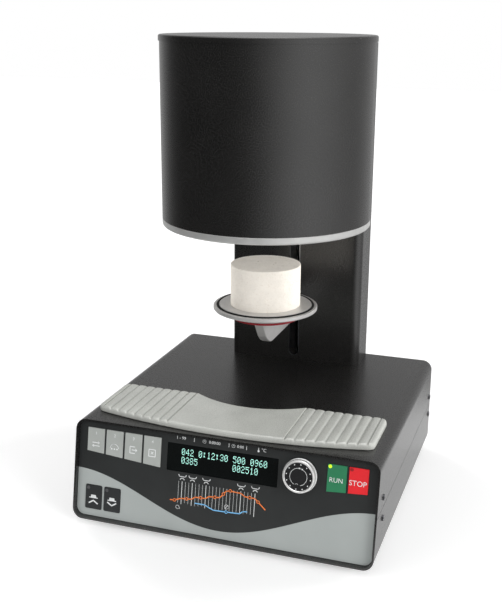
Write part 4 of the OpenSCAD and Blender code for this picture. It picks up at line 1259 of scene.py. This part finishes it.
@dataclass
class ColumnTrim:
    """The rolled edge round the slot and the screws in the rear covers."""

    slot_w: float = 11.6 * MM
    rim: float = 0.3 * MM
    slot_low: float = 5.9 * MM
    head_r: float = 2.7 * MM
    head_h: float = 1.3 * MM
    head_edge: float = 0.6 * MM
    socket_rim: float = 0.8 * MM
    socket_depth: float = 0.7 * MM
    inset: float = 9 * MM
    heights: tuple[float, ...] = (0.05, 0.5, 0.95)

    def build(self) -> None:
        """Builds the slot's rim and the rear screws."""
        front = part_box("column_shell")[0].y
        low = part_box("column_shell")[0].z + self.slot_low + self.slot_w / 2
        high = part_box("head_ring")[0].z + self.slot_w
        rim = Bench.start("torus", major_radius=self.slot_w / 2 + self.rim, minor_radius=self.rim,
                          major_segments=48, minor_segments=10, rotation=(math.pi / 2, 0, 0),
                          location=(0, front, low))
        Bench.edit(rim, "VERT")
        Bench.pick(rim, lambda v: v.co.z > low + SAME)
        bpy.ops.transform.translate(value=(0, 0, high - low))
        Bench.done(60)
        Bench.place(rim, "slot_rim", "root", "screw_steel", "steel_sheet")
        turn = Matrix.Rotation(-math.pi / 2, 4, "X")
        places = [Matrix.Translation(spot) @ turn for spot in self.spots()]
        screws = Bench.copies(self.screw(), places)
        Bench.place(screws, "rear_screws", "root", "screw_steel", "screw_steel")

    def screw(self) -> bpy.types.Object:
        """Models the pan head of a screw with its round socket.

        Returns:
            The head, on the XY plane.
        """
        screw = Bench.start("cylinder", vertices=32, radius=self.head_r, depth=self.head_h,
                            location=(0, 0, self.head_h / 2))
        Bench.edit(screw, "EDGE")
        Bench.pick(screw, lambda e: all(v.co.z > self.head_h / 2 for v in e.verts))
        bpy.ops.mesh.bevel(offset=self.head_edge, segments=4)
        Bench.pick(screw, lambda f: f.normal.z > 0.99 and len(f.verts) > 8, "FACE")
        bpy.ops.mesh.inset(thickness=self.socket_rim, depth=0)
        Bench.pull(0, 0, -self.socket_depth)
        Bench.done(35)
        return screw

    def spots(self) -> list[Place]:
        """Lists the places of the screws in the rear panel and the column's back.

        Returns:
            The places.
        """
        low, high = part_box("rear_panel")
        spots = [(x, high.y, z) for x in (low.x + self.inset, 0, high.x - self.inset)
                 for z in (low.z + self.inset, high.z - self.inset)]
        low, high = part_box("column_back")
        heights = [low.z + share * (high.z - low.z) for share in self.heights]
        return spots + [(x, high.y, z) for x in (low.x + self.inset, high.x - self.inset)
                        for z in heights]


@dataclass(frozen=True)
class ChartCurve:
    """A curve of the printed firing chart, in millimetres on the film."""

    name: str
    finish: str
    points: Sequence[Point]
    marks: Sequence[Point]


HEATING = ChartCurve(
    "chart_heating_curve", "print_orange",
    ((-53, 34.8), (-48, 35.2), (-41, 38), (-35, 38.4), (-29.5, 39), (-26, 41.6), (-20, 42),
     (-15, 42), (-11, 44.8), (-5, 45), (0.5, 45.6), (4, 49.8), (6.5, 53), (11, 54.2), (17, 53.6),
     (22, 53.6), (26.5, 50.8), (37, 50.6), (40.5, 47.6), (48.5, 40.8)),
    ((-48, 35.2), (-35, 38.4), (-20, 42), (-5, 45), (4, 49.8), (11, 54.2), (31.6, 50.7),
     (40.5, 47.6)))
VACUUM = ChartCurve(
    "chart_vacuum_curve", "print_blue",
    ((-26, 35.4), (-15, 35.5), (-11.5, 33.7), (-5.5, 31.6), (8, 32), (22, 32.6), (25.5, 35.4),
     (30, 35.8)),
    ((8, 32),))
# The cup over a stage of the chart, and its foot, across from the stage's line.
CUP = ((-4.1, 62.6), (-3.7, 61.2), (-2.7, 60.5), (2.7, 60.5), (3.7, 61.2), (4.1, 62.6))
CUP_FOOT = ((-2.4, 57.4), (-0.9, 58.8), (0.9, 58.8), (2.4, 57.4))
# The text of each display row, by its place up the panel.
DISPLAY_ROWS = {83.2: "042 0:12:30 500 0960", 74.5: "0385        002510"}
# The dots of each letter, from its top row down.
DIGITS = {
    "0": "01110 10001 10011 10101 11001 10001 01110",
    "1": "00100 01100 00100 00100 00100 00100 01110",
    "2": "01110 10001 00001 00110 01000 10000 11111",
    "3": "01110 10001 00001 00110 00001 10001 01110",
    "4": "00010 00110 01010 10010 11111 00010 00010",
    "5": "11111 10000 11110 00001 00001 10001 01110",
    "6": "00110 01000 10000 11110 10001 10001 01110",
    "8": "01110 10001 10001 01110 10001 10001 01110",
    "9": "01110 10001 10001 01111 00001 00010 01100",
    ":": "00000 01100 01100 00000 01100 01100 00000",
}


@dataclass
class ControlPanel:
    """Prints, lamps and lit digits on the film, the keys, the display and the knob.

    Heights above the film and the sizes of the lamps and dots are in metres, and all else
    is in millimetres.
    """

    key_w: float = 18.9
    key_pitch: float = 21.2
    key_left: float = -148.2
    run_left: float = 108.1
    key_middle: float = 83.0
    lift_s: float = 23.5
    knob_place: Point = (81.5, 81.54)
    knob_proud: float = 7.7 * MM
    lamp_r: float = 1.75 * MM
    lamp_h: float = 0.5 * MM
    lamp_edge: float = 0.18 * MM
    bar: float = 0.9
    tip: float = 0.7
    icon_fall: float = 3.0
    number_rise: float = 11.6
    number_size: float = 4.4
    lift_lamp: Point = (-6.2, 9.6)
    run_lamp: Point = (-7.2, 11.8)
    run_word: Point = (-0.6, -1.3)
    knob_dots: int = 12
    knob_dots_r: float = 12.3
    knob_dot_r: float = 0.58
    knob_turn: float = 22
    display_left: float = -42.7
    letter_pitch: float = 4.56
    dot_pitch: Point = (0.72, 1.0)
    dot_size: Place = (0.52 * MM, 0.70 * MM, 0.03 * MM)
    dot_corner: float = 0.2
    legend_s: float = 100.0
    grid_left: float = -44.5
    grid_pitch: float = 3.7
    grid_count: int = 23
    grid_top: float = 55.6
    stages: tuple[int, ...] = (1, 4, 8, 18, 22)
    curve_width: float = 1.1
    mark_r: float = 1.7
    mark_hole_r: float = 0.95
    ink: float = 0.04 * MM

    def build(self) -> None:
        """Builds everything on the panel."""
        self.row_icons()
        self.lift_icons()
        self.run_and_stop()
        self.knob_marks()
        self.display()
        self.legend()
        self.chart()
        self.curve(HEATING)
        self.curve(VACUUM)

    def stick(self, drawing: Drawing, place: Point, name: str, body: str = "root",
              slot: str = "film_two_tone", finish: str = "print_white", proud: float = 0.0) -> None:
        """Prints a drawing on the panel.

        Args:
            drawing: The drawing, round its own origin.
            place: Its place across and up the panel.
            name: The piece's name.
            body: The body that it rides on.
            slot: The material slot of what it is printed on.
            finish: The finish of the print.
            proud: Height of what it is printed on above the film.
        """
        x, s = place
        piece = Bench.lay(drawing.make(), PANEL.lay(x * MM, s * MM, proud))
        Bench.place(piece, name, body, finish, slot)

    def key_x(self, left: float, index: int) -> float:
        """Gives the middle of a key, counted from the left end of its row."""
        return left + index * self.key_pitch + self.key_w / 2

    def row_icons(self) -> None:
        """Prints the icons and numbers of the four grey keys."""
        arrows, bow, enter, escape = Drawing(), Drawing(), Drawing(), Drawing()
        for y, side in ((1.7, 1), (-1.7, -1)):
            arrows.line([(-4.2 * side, y), (4.2 * side, y)], self.bar)
            arrows.line([(2.2 * side, y + 1.3), (4.2 * side, y), (2.2 * side, y - 1.3)], self.tip)
        bow.arc(0, -1.9, 4.8, 8, 172, self.bar)
        for x in (-3, 0, 3):
            bow.disc(x, -2.2, 0.85)
        enter.line([(2.0, 3.4), (-3.6, 3.4), (-3.6, -3.4), (2.0, -3.4)], self.bar)
        enter.line([(-1.6, 0), (4.2, 0)], self.bar)
        enter.line([(2.4, 1.6), (4.2, 0), (2.4, -1.6)], self.tip)
        escape.line([(-3.6, -3.6), (3.6, -3.6), (3.6, 3.6), (-3.6, 3.6), (-3.6, -4.0)], self.bar)
        for way in (1, -1):
            escape.line([(-1.4, -1.4 * way), (1.4, 1.4 * way)], 0.8)
        icons = {"program": arrows, "curve": bow, "enter": enter, "escape": escape}
        for index, (key, icon) in enumerate(icons.items()):
            icon.word(str(index + 1), 0, self.number_rise, self.number_size)
            place = (self.key_x(self.key_left, index), self.key_middle - self.icon_fall)
            self.stick(icon, place, f"{key}_icon", f"{key}_key_body", "key_grey",
                       proud=PANEL.key_rise)

    def lamp(self, place: Point, name: str, body: str, finish: str, slot: str) -> None:
        """Sets a small lamp with a rounded top into a key.

        Args:
            place: Its place across and up the panel.
            name: The piece's name.
            body: The body that it rides on.
            finish: The lamp's finish.
            slot: The material slot of the key.
        """
        lamp = Bench.start("cylinder", vertices=32, radius=self.lamp_r, depth=self.lamp_h)
        Bench.edit(lamp, "EDGE")
        Bench.pick(lamp, lambda e: all(v.co.z > 0 for v in e.verts))
        bpy.ops.mesh.bevel(offset=self.lamp_edge, segments=4)
        Bench.done(40)
        x, s = place
        Bench.lay(lamp, PANEL.lay(x * MM, s * MM, PANEL.key_rise))
        Bench.place(lamp, name, body, finish, slot)

    def lift_icons(self) -> None:
        """Prints the table-up and table-down icons and sets their lamps."""
        for index, (key, way) in enumerate((("lift_up", 1), ("lift_down", -1))):
            icon = Drawing()
            for y, half in ((0.3, 4.9), (1.2, 3.1), (2.0, 2.9), (2.8, 2.7)):
                icon.line([(-half, y), (half, y)], 1.0)
            middle = -3.85 - 0.45 * way
            foot = middle - 1.6 * way
            icon.line([(-5.2, foot), (0, middle + 1.6 * way), (5.2, foot)], 1.4)
            x, body = self.key_x(self.key_left, index), f"{key}_key_body"
            self.stick(icon, (x, self.lift_s - 1), f"{key}_icon", body, "key_dark",
                       proud=PANEL.key_rise)
            place = (x + self.lift_lamp[0], self.lift_s + self.lift_lamp[1])
            self.lamp(place, f"{key}_lamp", body, "lamp_off", "key_dark")

    def run_and_stop(self) -> None:
        """Prints RUN and STOP and sets their lamps."""
        keys = (("run", 6.6, "lamp_green", "key_green"), ("stop", 7.3, "lamp_dark", "key_red"))
        for index, (key, size, lamp, slot) in enumerate(keys):
            x, body = self.key_x(self.run_left, index), f"{key}_key_body"
            word = Drawing().word(key.upper(), 0, 0, size)
            place = (x + self.run_word[0], self.key_middle + self.run_word[1])
            self.stick(word, place, f"{key}_word", body, slot, proud=PANEL.key_rise)
            place = (x + self.run_lamp[0], self.key_middle + self.run_lamp[1])
            self.lamp(place, f"{key}_lamp", body, lamp, slot)

    def knob_marks(self) -> None:
        """Prints the ring of dots and the open circle on the knob's cap."""
        marks = Drawing().arc(0, 0, 8.6, -75, 242, 0.38).arc(-1.4, -8.4, 1.6, 30, 150, 0.4)
        for index in range(self.knob_dots):
            angle = math.radians(self.knob_turn + 360 / self.knob_dots * index)
            x, y = self.knob_dots_r * math.cos(angle), self.knob_dots_r * math.sin(angle)
            marks.disc(x, y, self.knob_dot_r)
        marks.disc(0.4, 8.6, 0.8).disc(3.4, 7.9, 0.7)
        self.stick(marks, self.knob_place, "knob_marks", "selector_knob", "knob_black",
                   proud=self.knob_proud)

    def display(self) -> None:
        """Lights the digits of the two display rows."""
        (across, up), dots = self.dot_pitch, []
        for s, text in DISPLAY_ROWS.items():
            for column, letter in enumerate(text):
                x = self.display_left + column * self.letter_pitch
                for row, line in enumerate(DIGITS.get(letter, "").split()):
                    dots += [(x + i * across, s + (6 - row) * up)
                             for i, lit in enumerate(line) if lit == "1"]
        model = Bench.start("plane", size=1)
        Bench.edit(model, "VERT", action="SELECT")
        bpy.ops.mesh.bevel(offset=self.dot_corner, segments=1, affect="VERTICES")
        bpy.ops.mesh.select_mode(type="FACE")
        bpy.ops.mesh.select_all(action="SELECT")
        Bench.pull(0, 0, 1)
        Bench.done()
        Bench.outward(model)
        size = Matrix.Diagonal((*self.dot_size, 1))
        Bench.copies(model, [PANEL.lay(x * MM, s * MM, PANEL.glass_sink) @ size for x, s in dots])
        Bench.place(model, "display_digits", "root", "digit_glow", "display_glass")

    def legend(self) -> None:
        """Prints the small marks above the display."""
        marks = Drawing()
        for x in (-30.3, 6.7, 25.1):
            marks.line([(x, -2.0), (x, 2.0)], 0.5)
        for x in (-19.4, 11.3):
            marks.arc(x, 0, 1.7, 0, 350, 0.45).line([(x, 1.2), (x, 0), (x + 1.0, 0)], 0.4)
        marks.line([(37.5, -0.6), (37.5, 2.0)], 0.7).disc(37.5, -1.4, 1.1)
        for text, x, size in (("1 - 99", -44.5, 4.4), ("0:00:00", -8.4, 4.2), ("0:00", 18.7, 4.2),
                              ("\u00b0C", 43.0, 4.8)):
            marks.word(text, x, 0, size)
        self.stick(marks, (0, self.legend_s), "display_legend")

    def chart(self) -> None:
        """Prints the firing chart's grid, the cups over its stages and its two signs."""
        grid = Drawing()
        for index in range(self.grid_count):
            x, is_stage = self.grid_left + index * self.grid_pitch, index in self.stages
            low, width = (32.0, 0.55) if is_stage else (33.0 + 0.8 * math.sin(index), 0.26)
            grid.line([(x, low), (x, self.grid_top)], width)
        for index in self.stages:
            x = self.grid_left + index * self.grid_pitch
            grid.line(CUP, 0.7, x).line(CUP_FOOT, 0.8, x)
        grid.arc(-44.4, 28.5, 1.8, 40, 320, 0.6).line([(-43.0, 29.8), (-41.8, 27.0)], 0.5)
        grid.arc(8, 37.2, 2.1, 0, 350, 0.5).line([(6.2, 35.2), (9.8, 39.2)], 0.45)
        self.stick(grid, (0, 0), "chart_grid")

    def curve(self, curve: ChartCurve) -> None:
        """Prints a curve of the chart with its marker rings.

        Args:
            curve: The curve.
        """
        line, holes = Drawing(self.ink).line(curve.points, self.curve_width), Drawing(self.ink)
        for place in curve.marks:
            line.disc(*place, self.mark_r)
            holes.disc(*place, self.mark_hole_r)
        self.stick(line, (0, 0), curve.name, finish=curve.finish, proud=self.ink / 2)
        self.stick(holes, (0, 0), f"{curve.name}_marks", finish="key_dark", proud=self.ink)


@dataclass
class CadDress:
    """Puts a finish on every CAD node that stays in view."""

    # The side rails get nearly black in place of their bare steel: painted shade of the seam along
    # the base's side.
    own: dict[str, str] = field(default_factory=lambda: {"side_rails": "rail_seam_shade"})

    def build(self) -> None:
        """Dresses each node in its own finish or that of its material slot in the record. The side
        rails' own finish is nearly black: painted shade for the seam beside them.
        """
        for part in frame["record"]["subparts"]:
            node = frame["nodes"][part["node"]]
            for slot in node.material_slots:
                slot.material = Bench.finish(self.own.get(part["node"], part["material_slot"]))
        log.info("dressed %d CAD nodes", len(frame["nodes"]))


@dataclass(frozen=True)
class SoftLamp:
    """A broad soft lamp, which shows in no mirror image.

    Attributes:
        source: Direction that its light comes from.
        power: Its strength.
        angle: Its apparent size in degrees.
    """

    source: Place
    power: float
    angle: float

    def hang(self, name: str) -> None:
        """Hangs the lamp.

        Args:
            name: The lamp's name.
        """
        lamp = bpy.data.objects.new(name, bpy.data.lights.new(name, "SUN"))
        bpy.context.scene.collection.objects.link(lamp)
        lamp.data.energy = self.power
        lamp.data.angle = math.radians(self.angle)
        lamp.visible_glossy = False
        lamp.rotation_mode = "QUATERNION"
        lamp.rotation_quaternion = Vector(self.source).to_track_quat("Z", "Y")


@dataclass(frozen=True)
class BrightSide:
    """A soft bright side of the room that the furnace mirrors.

    Attributes:
        towards: Where it lies.
        strength: Its brightness.
        narrow: How fast it fades away from its middle.
    """

    towards: Place
    strength: float
    narrow: float


LAMPS = {
    "key": SoftLamp((0.86, -0.42, 0.27), 1.6, 30),
    "fill": SoftLamp((-0.62, -0.60, 0.30), 0.6, 50),
    "rear_left": SoftLamp((-0.78, 0.58, 0.225), 1.8, 20),
    "rear_right": SoftLamp((0.78, 0.58, 0.225), 1.8, 20),
}
ROOM = (
    BrightSide((0.891, -0.454, -0.05), 1.15, 3.0),
    BrightSide((0.25, 0.96, -0.05), 0.5, 1.5),
    BrightSide((-0.7, 0.7, -0.1), 0.4, 8.0),
    BrightSide((0, 0, 1), 5.0, 6.0),
)


@dataclass(frozen=True)
class Studio:
    """Pale floor, soft lamps, surroundings and the camera."""

    camera_place: Place = (0.314365, -0.975177, 0.513866)
    yaw: float = 0.330767
    pitch: float = 0.286860
    roll: float = 0.0058846
    lens: float = 58.485
    sensor: float = 36
    clip: Point = (0.01, 50)
    floor_size: float = 12.0
    floor_colour: Colour = (0.82, 0.82, 0.82)
    floor_glow: float = 0.4
    mirrored_floor: Point = (0.30, 0.42)
    room_ground: float = 0.05
    even: float = 0.55

    def build(self) -> None:
        """Builds the whole studio."""
        self.camera()
        for name, lamp in LAMPS.items():
            lamp.hang(name)
        self.floor()
        self.surroundings()
        bpy.context.scene.view_settings.view_transform = "Standard"

    def camera(self) -> None:
        """Sets the camera where the photograph was taken from."""
        camera = bpy.data.objects.new("camera", bpy.data.cameras.new("camera"))
        bpy.context.scene.collection.objects.link(camera)
        camera.data.sensor_width = self.sensor
        camera.data.lens = self.lens
        camera.data.clip_start, camera.data.clip_end = self.clip
        sy, cy = math.sin(self.yaw), math.cos(self.yaw)
        sp, cp = math.sin(self.pitch), math.cos(self.pitch)
        ahead = Vector((-sy * cp, cy * cp, -sp))
        right = Vector((cy, sy, 0))
        up = right.cross(ahead)
        tilted_right = right * math.cos(self.roll) + up * math.sin(self.roll)
        tilted_up = -right * math.sin(self.roll) + up * math.cos(self.roll)
        axes = (tilted_right, tilted_up, -ahead, Vector(self.camera_place))
        rows = [[axis[i] for axis in axes] for i in range(3)]
        camera.matrix_world = Matrix(rows + [[0, 0, 0, 1]])
        bpy.context.scene.camera = camera

    def floor(self) -> None:
        """Lays the pale floor, which shows a soft shadow and fades from mirror images."""
        floor = Bench.start("plane", size=self.floor_size)
        floor.name = "floor"
        material = bpy.data.materials.new("floor")
        nodes = NodeTree(material)
        nodes.tree.nodes.clear()
        rays = nodes.add("ShaderNodeLightPath").outputs
        seen = nodes.math("MAXIMUM", rays["Is Camera Ray"], rays["Is Glossy Ray"])
        strength = nodes.math("MULTIPLY", seen, self.floor_glow)
        matt = nodes.add("ShaderNodeBsdfDiffuse", {"Color": self.floor_colour}).outputs[0]
        glow = nodes.add("ShaderNodeEmission", {"Strength": strength}).outputs[0]
        pale = nodes.add("ShaderNodeAddShader", {0: matt, 1: glow}).outputs[0]
        place = nodes.add("ShaderNodeTexCoord").outputs["Object"]
        away = nodes.add("ShaderNodeVectorMath", {0: place}, operation="LENGTH").outputs["Value"]
        near, far = self.mirrored_floor
        inputs = {"Value": away, "From Min": near, "From Max": far}
        gone = nodes.add("ShaderNodeMapRange", inputs).outputs[0]
        gone = nodes.math("MULTIPLY", gone, rays["Is Glossy Ray"])
        clear = nodes.add("ShaderNodeBsdfTransparent").outputs[0]
        whole = nodes.add("ShaderNodeMixShader", {0: gone, 1: pale, 2: clear}).outputs[0]
        nodes.add("ShaderNodeOutputMaterial", {0: whole})
        floor.data.materials.append(material)

    def surroundings(self) -> None:
        """Gives white to the camera, an even light, and a room to mirror, brighter on the right."""
        world = bpy.data.worlds.new("surroundings")
        bpy.context.scene.world = world
        nodes = NodeTree(world)
        rays = nodes.add("ShaderNodeLightPath").outputs
        direction = nodes.add("ShaderNodeTexCoord").outputs["Generated"]
        room = self.room_ground
        for side in ROOM:
            inputs = {0: direction, 1: Vector(side.towards).normalized()}
            dot = nodes.add("ShaderNodeVectorMath", inputs, operation="DOT_PRODUCT")
            facing = nodes.math("MAXIMUM", dot.outputs["Value"], 0.0)
            facing = nodes.math("POWER", facing, side.narrow)
            room = nodes.math("ADD", room, nodes.math("MULTIPLY", facing, side.strength))
        mirrored = nodes.math("MULTIPLY", room, rays["Is Glossy Ray"])
        white = nodes.math("MAXIMUM", rays["Is Camera Ray"], rays["Is Transmission Ray"])
        special = nodes.math("MAXIMUM", white, mirrored)
        soft = nodes.math("MULTIPLY", rays["Is Diffuse Ray"], self.even)
        strength = nodes.math("ADD", special, soft)
        nodes.fill(nodes.tree.nodes["Background"], {"Color": (1, 1, 1), "Strength": strength})


def main() -> None:
    """Builds the furnace's looks and its studio."""
    logging.basicConfig(level=logging.INFO, format="%(message)s")
    Studio().build()
    CadDress().build()
    HandRest().build()
    ControlPanel().build()
    FiringBlock().build()
    HeatingCoil().build()
    VacuumHose().build()
    ColumnTrim().build()
    Bench.clear()


if __name__ == "__main__":
    main()
